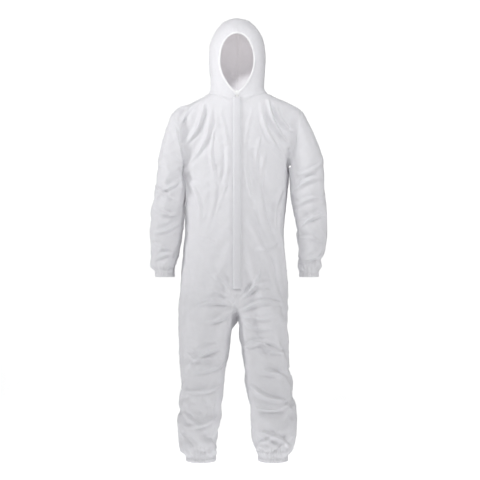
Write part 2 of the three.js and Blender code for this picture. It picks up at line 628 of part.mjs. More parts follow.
// The pull hangs by a bar through the bridge; its eye clears the bridge on both sides.
const PULL_BAR = 1.4;
const PULL_EYE = 4.6;
const PULL_SIDE = 1.5;
const pullAxisY = plateFront - BRIDGE_ROOM / 2;
const half = PULL_WIDTH / 2;
const pullShape = new THREE.Shape();
pullShape.moveTo(-half, PULL_BAR / 2);
pullShape.lineTo(-half, -PULL_LENGTH + half);
pullShape.absarc(0, -PULL_LENGTH + half, half, Math.PI, 2 * Math.PI, false);
pullShape.lineTo(half, PULL_BAR / 2);
pullShape.closePath();
const eye = new THREE.Path();
eye.moveTo(-half + PULL_SIDE, -PULL_BAR / 2);
eye.lineTo(half - PULL_SIDE, -PULL_BAR / 2);
eye.lineTo(half - PULL_SIDE, -PULL_BAR / 2 - PULL_EYE);
eye.lineTo(-half + PULL_SIDE, -PULL_BAR / 2 - PULL_EYE);
eye.closePath();
pullShape.holes.push(eye);
const pull = new THREE.ExtrudeGeometry(pullShape, { depth: PULL_THICK, bevelEnabled: false, curveSegments: 8 });
pull.translate(0, 0, -PULL_THICK / 2).rotateX(QUARTER).translate(0, pullAxisY, bridgeMiddle);
add('zip_pull', pull, 'nylon', front);

// The flap: a hat-shaped strip with one foot sewn beside the zip and the other stuck down by its adhesive.
const flapBase = upLine(FRONT_TAIL) + FLAP_ABOVE_TAIL;
const flapTop = upLine(NECK - FLAP_BELOW_NECK);
const footY = -SEAM_GAP;
const freeFootY = footY - ADHESIVE_THICK - SEAM_GAP;
const crestHalf = FLAP_HALF - FLAP_FOOT;
const flapOutline = [
  [-FLAP_HALF, footY], [-crestHalf, footY], [2 - crestHalf, -FLAP_RISE], [crestHalf - 2, -FLAP_RISE],
  [crestHalf, freeFootY], [FLAP_HALF, freeFootY], [FLAP_HALF, freeFootY - FLAP_WALL],
  [crestHalf + 1, freeFootY - FLAP_WALL], [crestHalf - 1, -FLAP_RISE - FLAP_WALL],
  [1 - crestHalf, -FLAP_RISE - FLAP_WALL], [-1 - crestHalf, footY - FLAP_WALL], [-FLAP_HALF, footY - FLAP_WALL],
];
add('storm_flap', strip(flapOutline, flapBase, flapTop), 'fabric', front);
const adhesive = block(
  FLAP_HALF - ADHESIVE_WIDTH - 1, FLAP_HALF - 1, footY - ADHESIVE_THICK, footY, flapBase + 4, flapTop - 4,
);
add('flap_adhesive', adhesive, 'adhesive', front);

suit.updateMatrixWorld();
export default suit;
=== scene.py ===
# %% [markdown]
# # A disposable hooded coverall
# The suit is thin white nonwoven cloth, sewn from a few large panels and held in at the face, waist, wrists and
# ankles by elastic. It stands as if worn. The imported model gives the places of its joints, zip, flap and hems,
# and this script makes the cloth around them. Everything is in metres, and the front faces -Y.

# %% Load the frame
import json
import math

import bmesh
import bpy
import numpy as np
from mathutils import Matrix, Vector, noise

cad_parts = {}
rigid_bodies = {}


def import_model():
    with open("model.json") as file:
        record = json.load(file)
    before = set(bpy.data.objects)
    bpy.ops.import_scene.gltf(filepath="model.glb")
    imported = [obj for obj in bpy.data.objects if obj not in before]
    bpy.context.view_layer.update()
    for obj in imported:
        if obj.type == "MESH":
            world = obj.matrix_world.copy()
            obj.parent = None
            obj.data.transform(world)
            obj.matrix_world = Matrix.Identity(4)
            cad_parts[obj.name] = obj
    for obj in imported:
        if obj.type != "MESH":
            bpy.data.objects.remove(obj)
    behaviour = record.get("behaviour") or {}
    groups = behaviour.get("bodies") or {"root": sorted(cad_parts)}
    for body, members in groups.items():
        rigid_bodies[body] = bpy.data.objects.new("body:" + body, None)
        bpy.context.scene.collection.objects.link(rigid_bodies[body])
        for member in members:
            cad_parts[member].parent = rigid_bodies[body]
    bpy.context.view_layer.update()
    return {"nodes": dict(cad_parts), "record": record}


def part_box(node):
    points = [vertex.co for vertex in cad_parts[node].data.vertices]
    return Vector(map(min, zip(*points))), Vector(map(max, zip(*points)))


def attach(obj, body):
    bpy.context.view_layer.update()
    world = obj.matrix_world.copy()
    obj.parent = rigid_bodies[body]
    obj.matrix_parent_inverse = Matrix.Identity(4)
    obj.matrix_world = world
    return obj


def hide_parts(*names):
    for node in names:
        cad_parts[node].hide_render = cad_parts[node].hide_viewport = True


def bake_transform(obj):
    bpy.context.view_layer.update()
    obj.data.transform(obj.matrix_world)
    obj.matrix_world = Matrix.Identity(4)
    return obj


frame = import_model()

# %% [markdown]
# ## Small helpers
# Sizes are easier to read in millimetres, so `mm` turns them to metres. A smooth curve through a few stops gives
# every outline of the suit: between two stops it eases from one value to the next.

# %% Millimetres and smooth outlines
def mm(value):
    return value / 1000


def ease(t):
    t = min(max(t, 0), 1)
    return t * t * (3 - 2 * t)


def through(stops):
    """A smooth curve through (place, value) stops, level outside them."""
    places, values = zip(*sorted(stops))
    slopes = [0.0] * len(places)
    for i in range(1, len(places) - 1):
        before = (values[i] - values[i - 1]) / (places[i] - places[i - 1])
        after = (values[i + 1] - values[i]) / (places[i + 1] - places[i])
        slopes[i] = 0 if before * after <= 0 else 2 * before * after / (before + after)

    def curve(place):
        if place <= places[0]:
            return values[0]
        if place >= places[-1]:
            return values[-1]
        i = next(k for k in range(1, len(places)) if place <= places[k])
        span = places[i] - places[i - 1]
        t = (place - places[i - 1]) / span
        start = (1 + 2 * t) * (1 - t) ** 2 * values[i - 1] + t * (1 - t) ** 2 * span * slopes[i - 1]
        return start + t * t * (3 - 2 * t) * values[i] + t * t * (t - 1) * span * slopes[i]

    return curve


# %% [markdown]
# ## Where things are
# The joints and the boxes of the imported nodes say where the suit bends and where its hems, zip and flap lie.

# %% Read places from the frame
joints = {joint["name"]: joint for joint in frame["record"]["behaviour"]["joints"]}
HIP = joints["left_hip"]["pos_m"][2]
KNEE = joints["left_knee"]["pos_m"][2]
ELBOW = joints["left_elbow"]["pos_m"][2]
SHOULDER = joints["left_shoulder"]["pos_m"][2]
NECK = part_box("left_front_panel")[1][2] + mm(2)
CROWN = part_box("left_hood_panel")[1][2]
CUFF_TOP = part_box("left_cuff_hem")[1][2]
CUFF_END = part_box("left_cuff_hem")[0][2]
ANKLE_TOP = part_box("left_ankle_hem")[1][2]
CROTCH = HIP - mm(68)
FRONT_AT_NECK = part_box("left_front_panel")[0][1]
zip_axis = joints["zip_slide"]["axis"]
FRONT_SLOPE = zip_axis[1] / zip_axis[2]
hinge_at = joints["flap_hinge"]["pos_m"]
print(f"hip {HIP:.3f}, knee {KNEE:.3f}, elbow {ELBOW:.3f}, neck {NECK:.3f}, crown {CROWN:.3f}")


def front_line(z):
    """Where the centre-front line lies at height z."""
    return hinge_at[1] + FRONT_SLOPE * (z - hinge_at[2])

# %% [markdown]
# ## The worn shape
# A worn coverall is a set of soft tubes: a trunk, two sleeves, two legs and a hood. Each tube is lofted from level
# rings, from its lower end to its upper one. The rings' left and right edges, front and back come from a few stops
# each. A superellipse is used in place of an ellipse where the cloth hangs boxy.

# %% Loft a closed tube from level rings
RING_POINTS = 64


def add_ring(bm, height, low_x, high_x, front, back, power):
    """A level ring of vertices; front and back are y values."""
    ring = bmesh.ops.create_circle(bm, segments=RING_POINTS, radius=1)["verts"]
    middle_x, half = (low_x + high_x) / 2, (high_x - low_x) / 2
    middle_y = (front + back) / 2
    for i, vertex in enumerate(ring):
        turn = 2 * math.pi * i / RING_POINTS
        across, along = math.cos(turn), math.sin(turn)
        depth = (back - front) / 2
        reach = (abs(across / half) ** power + abs(along / depth) ** power) ** (-1 / power)
        vertex.co = (middle_x + reach * across, middle_y + reach * along, height)
    return ring


def loft(bm, heights, outline):
    """Rings at the given heights, bridged and closed at both ends."""
    edges = []
    for height in heights:
        ring = add_ring(bm, height, *outline(height))
        edges.append([bm.edges.get((ring[i - 1], ring[i])) or bm.edges.new((ring[i - 1], ring[i]))
                      for i in range(RING_POINTS)])
    for lower, upper in zip(edges, edges[1:]):
        bmesh.ops.bridge_loops(bm, edges=lower + upper)
    for end in (edges[0], edges[-1]):
        bmesh.ops.contextual_create(bm, geom=end)


def levels(low, high, count):
    return [low + (high - low) * i / (count - 1) for i in range(count)]


# %% [markdown]
# The outlines below are in millimetres, measured from the middle of the suit, which hangs a little unevenly, as
# real ones do.

# %% Outlines of the tubes
def outline_from(left, right, front, back, power):
    """Turns five smooth curves in millimetres into one outline in metres."""
    def outline(height):
        z = height * 1000
        return mm(left(z)), mm(right(z)), mm(front(z)), mm(back(z)), power(z)
    return outline


trunk = outline_from(
    left=through([(560, -226), (660, -223), (756, -214), (820, -207), (868, -199), (925, -192), (1000, -197),
                  (1084, -201), (1190, -208), (1300, -225), (1385, -236), (1412, -216), (1428, -188), (1444, -154),
                  (1460, -120), (1478, -104)]),
    right=through([(560, 206), (660, 206), (756, 202), (820, 199), (868, 195), (925, 192), (1000, 199),
                   (1084, 204), (1190, 210), (1300, 228), (1385, 244), (1412, 236), (1428, 212), (1444, 174),
                   (1460, 134), (1478, 108)]),
    front=lambda z: front_line(mm(z)) * 1000,
    back=through([(590, 108), (700, 121), (800, 118), (925, 104), (1080, 116), (1200, 126), (1330, 120),
                  (1400, 104), (1440, 88), (1478, 72)]),
    power=through([(680, 2.8), (920, 2.5), (1190, 2.3)]),
)
hood = outline_from(
    left=through([(1440, -104), (1478, -106), (1520, -106), (1560, -112), (1620, -114), (1665, -109), (1700, -96),
                  (1732, -78), (1752, -58), (1764, -38), (1771, -10)]),
    right=through([(1440, 106), (1478, 108), (1520, 109), (1560, 112), (1620, 115), (1665, 109), (1700, 99),
                   (1732, 80), (1752, 60), (1764, 40), (1771, 10)]),
    front=through([(1440, -90), (1478, -90), (1540, -97), (1620, -100), (1680, -94), (1715, -80), (1745, -54),
                   (1764, -28), (1771, 2)]),
    back=through([(1440, 76), (1478, 74), (1520, 92), (1580, 126), (1630, 133), (1680, 126), (1720, 104),
                  (1750, 72), (1764, 46), (1771, 22)]),
    power=lambda z: 2.25,
)
left_sleeve = outline_from(
    left=through([(752, 250), (790, 239), (850, 239), (960, 231), (1060, 219), (1180, 213), (1300, 196),
                  (1392, 205)]),
    right=through([(752, 327), (790, 341), (850, 348), (920, 355), (1010, 354), (1084, 352), (1204, 344),
                   (1262, 330), (1300, 313), (1332, 297), (1364, 281), (1392, 264), (1406, 251), (1420, 228)]),
    front=through([(752, -38), (790, -54), (850, -60), (1000, -66), (1200, -70), (1340, -66), (1392, -50), (1420, -24)]),
    back=through([(752, 38), (790, 54), (850, 60), (1000, 66), (1200, 72), (1340, 68), (1392, 52), (1420, 26)]),
    power=lambda z: 2.1,
)
right_sleeve = outline_from(
    left=through([(752, -340), (790, -349), (850, -350), (920, -354), (1010, -346), (1084, -336), (1204, -318),
                  (1262, -307), (1300, -296), (1332, -283), (1364, -272), (1392, -255), (1406, -243), (1420, -222)]),
    right=through([(752, -262), (790, -243), (850, -238), (960, -225), (1060, -213), (1180, -205), (1300, -192),
                   (1392, -200)]),
    front=through([(752, -38), (790, -54), (850, -60), (1000, -66), (1200, -70), (1340, -66), (1392, -50), (1420, -24)]),
    back=through([(752, 38), (790, 54), (850, 60), (1000, 66), (1200, 72), (1340, 68), (1392, 52), (1420, 26)]),
    power=lambda z: 2.1,
)
left_leg = outline_from(
    left=through([(16, 88), (40, 74), (60, 66), (84, 60), (148, 53), (212, 48), (276, 37), (340, 28), (404, 20),
                  (468, 12), (532, 5), (590, -2)]),
    right=through([(16, 200), (40, 213), (60, 222), (84, 231), (148, 239), (212, 236), (276, 228), (340, 220),
                   (404, 212), (468, 209), (590, 207)]),
    front=through([(16, -56), (40, -70), (84, -84), (212, -91), (340, -96), (470, -106), (560, -120), (600, -124)]),
    back=through([(16, 56), (40, 70), (84, 84), (212, 91), (340, 94), (470, 100), (560, 107), (600, 109)]),
    power=through([(420, 2.2), (600, 2.7)]),
)
right_leg = outline_from(
    left=through([(16, -206), (40, -222), (60, -228), (84, -232), (148, -239), (212, -233), (276, -231),
                  (340, -226), (404, -226), (468, -228), (590, -227)]),
    right=through([(16, -92), (40, -82), (60, -78), (84, -75), (148, -68), (212, -63), (276, -56), (340, -50),
                   (404, -40), (468, -31), (532, -19), (590, -6)]),
    front=through([(16, -56), (40, -70), (84, -84), (212, -91), (340, -96), (470, -106), (560, -120), (600, -124)]),
    back=through([(16, 56), (40, 70), (84, 84), (212, 91), (340, 94), (470, 100), (560, 107), (600, 109)]),
    power=through([(420, 2.2), (600, 2.7)]),
)

tubes = [
    (trunk, mm(610), NECK, 60),
    (hood, NECK - mm(30), CROWN, 44),
    (left_sleeve, CUFF_TOP - mm(20), mm(1420), 50),
    (right_sleeve, CUFF_TOP - mm(20), mm(1420), 50),
    (left_leg, ANKLE_TOP - mm(18), mm(640), 60),
    (right_leg, ANKLE_TOP - mm(18), mm(640), 60),
]
worn = bmesh.new()
for outline, low, high, count in tubes:
    loft(worn, levels(low, high, count), outline)
bmesh.ops.recalc_face_normals(worn, faces=worn.faces)
print("worn shape:", len(worn.faces), "faces in", len(tubes), "tubes")

# %% [markdown]
# Under the arm the sleeve touches the trunk, and the legs touch each other, and a remesh would glue them together.
# So each limb is swung a little outwards first, and back again afterwards.

# %% Swing the limbs apart
SWING = mm(26)
sleeve_gap = through([(740, 228), (868, 214), (960, 210), (1190, 210.5), (1392, 254)])  # between trunk and sleeve
LEG_SWING = mm(20)
between_legs = through([(340, -11), (404, -10), (468, -9.5), (532, -7), (590, -4), (640, -2)])


def swing(point):
    """How far the sleeves are swung out at a point's height."""
    return SWING * ease((mm(1215) - point.z) / mm(40))


def from_between(point):
    """Distance in x from the line midway between the legs."""
    return point.x - mm(between_legs(point.z * 1000))


def leg_swing(point):
    """How far the legs are swung apart at a point's height."""
    return LEG_SWING * ease((mm(634) - point.z) / mm(30))


for vertex in worn.verts:
    out = abs(vertex.co.x) - mm(sleeve_gap(vertex.co.z * 1000))
    if vertex.co.z > CUFF_END and out > 0:
        vertex.co.x += math.copysign(swing(vertex.co), vertex.co.x)
    vertex.co.x += math.copysign(leg_swing(vertex.co), from_between(vertex.co))

# %% [markdown]
# ## One skin of cloth
# The tubes overlap at the shoulders, the neck and the hips. A voxel remesh melts them into one skin of even
# squares, which is what a cloth simulation wants. The sleeves and legs reach past their hems and are cut to length
# afterwards, so that their rims are clean circles.

# %% Melt the tubes into one skin
VOXEL = mm(13)


def new_object(name, mesh_or_bm):
    """A new object in the scene from a mesh or a bmesh."""
    mesh = mesh_or_bm
    if isinstance(mesh_or_bm, bmesh.types.BMesh):
        mesh = bpy.data.meshes.new(name)
        mesh_or_bm.to_mesh(mesh)
        mesh_or_bm.free()
    obj = bpy.data.objects.new(name, mesh)
    bpy.context.scene.collection.objects.link(obj)
    return obj


def evaluated_mesh(obj, name):
    """A copy of an object's mesh with its modifiers applied."""
    bpy.context.view_layer.update()
    depsgraph = bpy.context.evaluated_depsgraph_get()
    return bpy.data.meshes.new_from_object(obj.evaluated_get(depsgraph), depsgraph=depsgraph).copy()


worn_object = new_object("worn_shape", worn)
remesh = worn_object.modifiers.new("one_skin", "REMESH")
remesh.mode = "VOXEL"
remesh.voxel_size = VOXEL
skin = bmesh.new()
skin.from_mesh(evaluated_mesh(worn_object, "skin"))
bpy.data.objects.remove(worn_object)
for vertex in skin.verts:
    if vertex.co.z > CUFF_END:
        gap = mm(sleeve_gap(vertex.co.z * 1000))
        share = ease((abs(vertex.co.x) - gap) / max(swing(vertex.co), mm(1)))
        vertex.co.x -= math.copysign(share * swing(vertex.co), vertex.co.x)
    apart = leg_swing(vertex.co)
    share = ease(abs(from_between(vertex.co)) / max(apart, mm(1)))
    vertex.co.x -= math.copysign(share * apart, from_between(vertex.co))
around_crotch = [v for v in skin.verts if mm(590) < v.co.z < mm(670)]
for _ in range(4):
    bmesh.ops.smooth_vert(skin, verts=around_crotch, factor=0.5, use_axis_x=True, use_axis_y=True, use_axis_z=True)
print("skin:", len(skin.verts), "vertices")

# %% [markdown]
# ## Openings
# The skin is cut level above each hem, and the face opening is cut out of the hood's front: a V where the zip ends
# and an arch over the forehead.

# %% Cut the limbs to length
HEM_JOIN = -mm(1)  # the cloth runs on a little inside each hem


def cut_below(bm, height, low, high):
    """Removes the cloth below a height, among the faces between two corners."""
    def inside(point):
        return all(a <= c <= b for a, c, b in zip(low, point, high))
    faces = [face for face in bm.faces if inside(face.calc_center_median())]
    # A dictionary keeps the mesh's own order, where a set's changes with each run, and the simulation follows it.
    edges = list(dict.fromkeys(e for f in faces for e in f.edges))
    verts = list(dict.fromkeys(v for f in faces for v in f.verts))
    geom = faces + edges + verts
    bmesh.ops.bisect_plane(bm, geom=geom, dist=1e-6, plane_co=(0, 0, height), plane_no=(0, 0, -1),
                           clear_outer=True)


cut_below(skin, ANKLE_TOP + HEM_JOIN, (-1, -1, -1), (1, 1, mm(200)))
for side in (-1, 1):
    low_x, high_x = sorted((side * mm(234), side))
    cut_below(skin, CUFF_TOP + HEM_JOIN, (low_x, -1, mm(700)), (high_x, 1, mm(800)))
print("rim vertices:", sum(vertex.is_boundary for vertex in skin.verts))

# %% [markdown]
# The face opening is one closed curve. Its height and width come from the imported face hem, and its V reaches down
# to the top of the zip.

# %% Cut the face opening
face_low, face_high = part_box("face_hem")
FACE_TOP = face_high[2] - mm(12)
FACE_SILL = NECK - mm(18)
FACE_HALF = (face_high[0] - face_low[0]) / 2
FACE_WIDEST = 0.56  # share of its height at which it is widest
FACE_MIDDLE = Vector((0, 0, FACE_SILL + FACE_WIDEST * (FACE_TOP - FACE_SILL)))


def face_half(z):
    """Half the opening's width at height z."""
    t = (z - FACE_SILL) / (FACE_TOP - FACE_SILL)
    if not 0 < t < 1:
        return 0
    if t > FACE_WIDEST:
        return FACE_HALF * math.sqrt(1 - ((t - FACE_WIDEST) / (1 - FACE_WIDEST)) ** 2)
    return FACE_HALF * (1 - ((FACE_WIDEST - t) / FACE_WIDEST) ** 2.1)


def face_curve(turn):
    """The opening's edge in x and z; turn 0 is the top."""
    direction = Vector((math.sin(turn), 0, math.cos(turn)))
    inside, outside = 0.0, 0.3
    for _ in range(30):
        reach = (inside + outside) / 2
        point = FACE_MIDDLE + direction * reach
        if abs(point.x) < face_half(point.z):
            inside = reach
        else:
            outside = reach
    return FACE_MIDDLE + direction * inside


def in_face(point):
    return point.y < mm(-30) and abs(point.x) < face_half(point.z)


bmesh.ops.delete(skin, geom=[f for f in skin.faces if in_face(f.calc_center_median())], context="FACES")
face_rim = [v for v in skin.verts if v.is_boundary and v.co.z > NECK - mm(40)]
for vertex in face_rim:
    offset = vertex.co - FACE_MIDDLE
    edge = face_curve(math.atan2(offset.x, offset.z))
    vertex.co.x, vertex.co.z = edge.x, edge.z
on_rim = set(face_rim)
near_rim = [v for v in dict.fromkeys(e.other_vert(r) for r in face_rim for e in r.link_edges) if v not in on_rim]
bmesh.ops.smooth_vert(skin, verts=near_rim, factor=0.5, use_axis_x=True, use_axis_y=True, use_axis_z=True)
print("face opening:", len(face_rim), "rim vertices")

# %% [markdown]
# ## Folds from a cloth simulation
# A worn coverall is bigger than the body in it, so it sags and crumples where cloth is to spare: at the elbows,
# the crotch, the knees and above each hem. The skin is simulated as cloth that is a few per cent longer than its
# shape, hung over a slimmer copy of itself that stands for the wearer. The rims, the cloth under the flap and the
# shoulders are pinned, because elastic, the zip and the wearer hold them. The result is read back as plain
# vertices, so no simulation stays in the file.

# %% Hang the cloth on a hidden wearer
SPARE_ON_TRUNK = 0.02  # how much longer the cloth is than its shape
SPARE_ON_LIMBS = 0.055
WEARER_INSET = mm(16)
CLOTH_FRAMES = 26


def pin_weight(point):
    """How firmly the cloth is held at a point, from 0 to 1."""
    under_flap = (1 - ease((abs(point.x) - mm(16)) / mm(26))) if point.y < 0 and point.z > HIP else 0
    cuff = 1 - ease((point.z - CUFF_TOP) / mm(26)) if abs(point.x) > mm(234) else 0
    ankle = 1 - ease((point.z - ANKLE_TOP) / mm(30))
    top = 0.85 * ease((point.z - SHOULDER + mm(110)) / mm(100))
    return max(under_flap, cuff, ankle, top)


def limb_share(point):
    """0 on the trunk and the hood, 1 on the lower sleeves and the legs."""
    leg = 1 - ease((point.z - mm(560)) / mm(120))
    sleeve = 1 - ease((point.z - mm(1080)) / mm(160)) if abs(point.x) > mm(212) else 0
    return max(leg, sleeve)


def hang(bm):
    """Simulates the skin as cloth and moves its vertices to where they settle."""
    wearer = bm.copy()
    wearer.normal_update()
    for vertex in wearer.verts:
        vertex.co -= vertex.normal * WEARER_INSET
    bmesh.ops.smooth_vert(wearer, verts=wearer.verts, factor=0.5, use_axis_x=True, use_axis_y=True, use_axis_z=True)
    wearer_object = new_object("wearer", wearer)
    wearer_object.modifiers.new("collision", "COLLISION")
    wearer_object.collision.thickness_outer = mm(2)
    cloth_mesh = bpy.data.meshes.new("cloth")
    bm.to_mesh(cloth_mesh)
    cloth = new_object("cloth", cloth_mesh)
    pins = cloth.vertex_groups.new(name="pins")
    spare = cloth.vertex_groups.new(name="spare")
    for vertex in cloth_mesh.vertices:
        weight = 1.0 if vertex.index in rim_indices else pin_weight(vertex.co)
        pins.add([vertex.index], weight, "REPLACE")
        spare.add([vertex.index], limb_share(vertex.co), "REPLACE")
    settings = cloth.modifiers.new("cloth", "CLOTH").settings
    settings.vertex_group_mass = "pins"
    settings.vertex_group_shrink = "spare"
    settings.quality = 5
    settings.mass = 0.15
    settings.tension_stiffness = settings.compression_stiffness = 25
    settings.shear_stiffness = 12
    settings.bending_stiffness = 1.2
    settings.tension_damping = settings.compression_damping = 12
    settings.shrink_min = -SPARE_ON_TRUNK
    settings.shrink_max = -SPARE_ON_LIMBS
    settings.effector_weights.gravity = 0.5
    collisions = cloth.modifiers["cloth"].collision_settings
    collisions.distance_min = mm(3)
    collisions.use_self_collision = False
    scene = bpy.context.scene
    for step in range(1, CLOTH_FRAMES + 1):
        scene.frame_set(step)
    hung = evaluated_mesh(cloth, "hung")
    for vertex, settled in zip(bm.verts, hung.vertices):
        vertex.co = settled.co
    scene.frame_set(1)
    bpy.data.objects.remove(cloth)
    bpy.data.objects.remove(wearer_object)


skin.verts.index_update()
rim_indices = {vertex.index for vertex in skin.verts if vertex.is_boundary}
rest_place = skin.verts.layers.float_vector.new("rest_place")
for vertex in skin.verts:
    vertex[rest_place] = vertex.co
hang(skin)
moved = [(vertex.co - vertex[rest_place]).length for vertex in skin.verts]
print(f"cloth moved {sum(moved) / len(moved) * 1000:.1f} mm on average, {max(moved) * 1000:.0f} mm at most")

# %% [markdown]
# ## A dense, smooth sheet
# One level of subdivision before the folds and one after turns the 13 mm squares into 3 mm ones. From here on the
# sheet's points are kept as arrays: where each one is, where it lay before the simulation, and which way it faces.

# %% Subdivide the skin
def subdivided(mesh):
    """The same surface with every face split in four and rounded."""
    carrier = new_object("carrier", mesh)
    level = carrier.modifiers.new("rounded", "SUBSURF")
    level.levels = level.render_levels = 1
    finer = evaluated_mesh(carrier, "finer")
    bpy.data.objects.remove(carrier)
    return finer


def read_vectors(items, name, count):
    values = np.empty(count * 3, np.float32)
    items.foreach_get(name, values)
    return values.reshape(-1, 3).astype(float)


def write_points(mesh, points):
    mesh.vertices.foreach_set("co", points.astype(np.float32).ravel())
    mesh.update()


skin_mesh = bpy.data.meshes.new("skin")
skin.to_mesh(skin_mesh)
skin.free()
skin_mesh = subdivided(skin_mesh)
print("sheet:", len(skin_mesh.vertices), "vertices")

# %% [markdown]
# ## The folds that this suit shows
# On top of the crumple that the simulation gives, the suit has some long folds in set places: they fan out from
# the armpits, the crotch and the knees, and soft pleats lie down the chest. Each is drawn as a stroke from one
# point to another, as a sculptor would: a soft ridge with a shallow valley beside it, fading out at both ends.

# %% Where each stroke runs
FRONT, BACK = -1, 1
TRUNK, SLEEVES, LEGS = "trunk", "sleeves", "legs"
# Each stroke: start (x, z), end (x, z), half width and height, all in millimetres.
strokes = {
    (FRONT, TRUNK): [
        ((-128, 1428), (-206, 1260), 15, 7), ((-96, 1408), (-196, 1180), 17, 6), ((-150, 1430), (-228, 1320), 12, 5),
        ((124, 1440), (212, 1262), 15, 8), ((96, 1420), (196, 1206), 15, 6), ((150, 1420), (232, 1308), 12, 5),
        ((-60, 1380), (-84, 980), 13, 4), ((-36, 1390), (-42, 1060), 9, 3.4), ((60, 1392), (72, 1010), 13, 4),
        ((-88, 1330), (-62, 1090), 10, 3.6), ((-40, 1240), (-76, 1060), 9, 4), ((94, 1300), (110, 1060), 12, 3.6),
        ((-116, 1250), (-128, 900), 15, 3), ((120, 1260), (136, 930), 15, 3), ((-60, 1452), (18, 1412), 8, 4),
        ((66, 1456), (-14, 1404), 8, 4), ((-186, 1120), (-150, 930), 14, 4), ((190, 1110), (160, 920), 14, 4),
        ((-170, 900), (-60, 846), 15, 3), ((176, 890), (60, 840), 15, 3),
        ((14, 644), (150, 742), 13, 6), ((16, 632), (182, 700), 12, 6), ((12, 652), (96, 790), 12, 5),
        ((-20, 646), (-190, 686), 14, 6), ((-16, 664), (-130, 770), 13, 5),
    ],
    (FRONT, LEGS): [
        ((22, 612), (190, 650), 12, 6), ((26, 596), (170, 600), 11, 5), ((30, 570), (150, 548), 11, 4),
        ((-22, 630), (-168, 632), 13, 6), ((-26, 606), (-150, 570), 12, 5),
        ((-70, 470), (-206, 396), 16, 6), ((-60, 420), (-190, 372), 14, 6), ((-208, 452), (-110, 430), 13, 5),
        ((-72, 330), (-214, 300), 15, 5), ((-90, 196), (-206, 150), 15, 5), ((-214, 206), (-130, 168), 14, 5),
        ((30, 470), (150, 494), 14, 6), ((98, 496), (196, 452), 14, 6), ((104, 378), (200, 352), 15, 6),
        ((60, 330), (196, 262), 16, 6), ((84, 238), (214, 250), 14, 5), ((90, 140), (210, 66), 14, 6),
        ((76, 92), (160, 150), 13, 5),
    ],
    (FRONT, SLEEVES): [
        ((-232, 1120), (-330, 1080), 13, 6), ((-338, 1112), (-244, 1040), 12, 5), ((-340, 1010), (-240, 986), 13, 6),
        ((-236, 950), (-340, 912), 12, 6), ((-344, 880), (-256, 850), 12, 5), ((-250, 828), (-330, 800), 11, 5),
        ((238, 1150), (334, 1196), 14, 5), ((232, 1090), (340, 1140), 13, 6), ((236, 1030), (346, 1060), 13, 5),
        ((346, 990), (250, 940), 13, 6), ((244, 900), (340, 880), 12, 5), ((336, 840), (256, 808), 11, 5),
    ],
    (BACK, TRUNK): [
        ((0, 660), (-150, 740), 15, 6), ((0, 660), (150, 744), 15, 6), ((-120, 1380), (-190, 1180), 16, 6),
        ((120, 1380), (190, 1180), 16, 6), ((-60, 1330), (-90, 1010), 16, 4), ((64, 1330), (90, 1010), 16, 4),
    ],
    (BACK, LEGS): [
        ((-10, 622), (-180, 650), 14, 6), ((10, 622), (176, 656), 14, 6), ((-60, 440), (-210, 400), 16, 6),
        ((60, 440), (210, 396), 16, 6), ((-70, 372), (-200, 352), 14, 5), ((64, 368), (200, 344), 14, 5),
    ],
    (BACK, SLEEVES): [
        ((-232, 1090), (-336, 1040), 13, 5), ((-340, 980), (-240, 940), 13, 5), ((232, 1090), (336, 1040), 13, 5),
        ((340, 980), (240, 940), 13, 5),
    ],
}
FOLD_SHARE = {TRUNK: 1.7, SLEEVES: 2.0, LEGS: 2.3}
print(sum(len(group) for group in strokes.values()), "strokes")

# %% [markdown]
# A stroke lifts the sheet along its own normals. `gentle` is a smooth step for whole arrays. Nothing moves under
# the storm flap or at a rim, where zip and elastic hold the cloth.

# %% Draw the strokes
def gentle(values):
    values = np.clip(values, 0, 1)
    return values * values * (3 - 2 * values)


def limb_of(rest):
    """Three masks over the points: trunk and hood, sleeves, legs."""
    x, z = abs(rest[:, 0]), rest[:, 2]
    gaps = np.interp(z, [mm(740), mm(868), mm(960), mm(1190), mm(1392)], [mm(228), mm(214), mm(210), mm(210.5), mm(254)])
    sleeves = (x > gaps) & (z > CUFF_END) & (z < mm(1400))
    legs = z < mm(648) + 0.4 * x
    return {TRUNK: ~sleeves & ~legs, SLEEVES: sleeves, LEGS: legs & ~sleeves}


def held_flat(rest):
    """1 where the cloth is free, 0 under the flap and at the rims."""
    free = gentle((abs(rest[:, 0]) - mm(20)) / mm(22))
    free[(rest[:, 1] > 0) | (rest[:, 2] < HIP - mm(4)) | (rest[:, 2] > NECK)] = 1
    free *= gentle((rest[:, 2] - ANKLE_TOP) / mm(16))
    return free


def stroke_profile(across):
    """Height across a fold, from -1 to 1: a ridge with one steep flank, and a shallow valley on each side."""
    across = np.where(across < 0, across * 1.5, across * 0.8)
    return np.exp(-2.6 * abs(across) ** 1.25) - 0.5 * np.exp(-3.4 * (abs(across) - 1.15) ** 2)


def stroke_lift(rest, limbs):
    """How far all strokes together lift each point."""
    lift = np.zeros(len(rest))
    for (side, limb), group in strokes.items():
        for (x0, z0), (x1, z1), width, height in group:
            start, run = np.array([mm(x0), mm(z0)]), np.array([mm(x1 - x0), mm(z1 - z0)])
            length = np.linalg.norm(run)
            offset = rest[:, (0, 2)] - start
            along = offset @ run / length ** 2
            bow = 0.1 * length * np.sin(math.pi * np.clip(along, 0, 1)) * (1 if (x0 + z1) % 4 < 2 else -1)
            across = (offset[:, 0] * run[1] - offset[:, 1] * run[0]) / length + bow
            fade = gentle((along + 0.12) / 0.4) * gentle((1.12 - along) / 0.55)
            on_it = (rest[:, 1] * side > 0) & limbs[limb]
            lift += np.where(on_it, FOLD_SHARE[limb] * mm(height) * fade * stroke_profile(across / (mm(width) * (0.6 + 0.4 * fade))), 0)
    return lift


def vertex_normals(mesh):
    return read_vectors(mesh.vertex_normals, "vector", len(mesh.vertices))


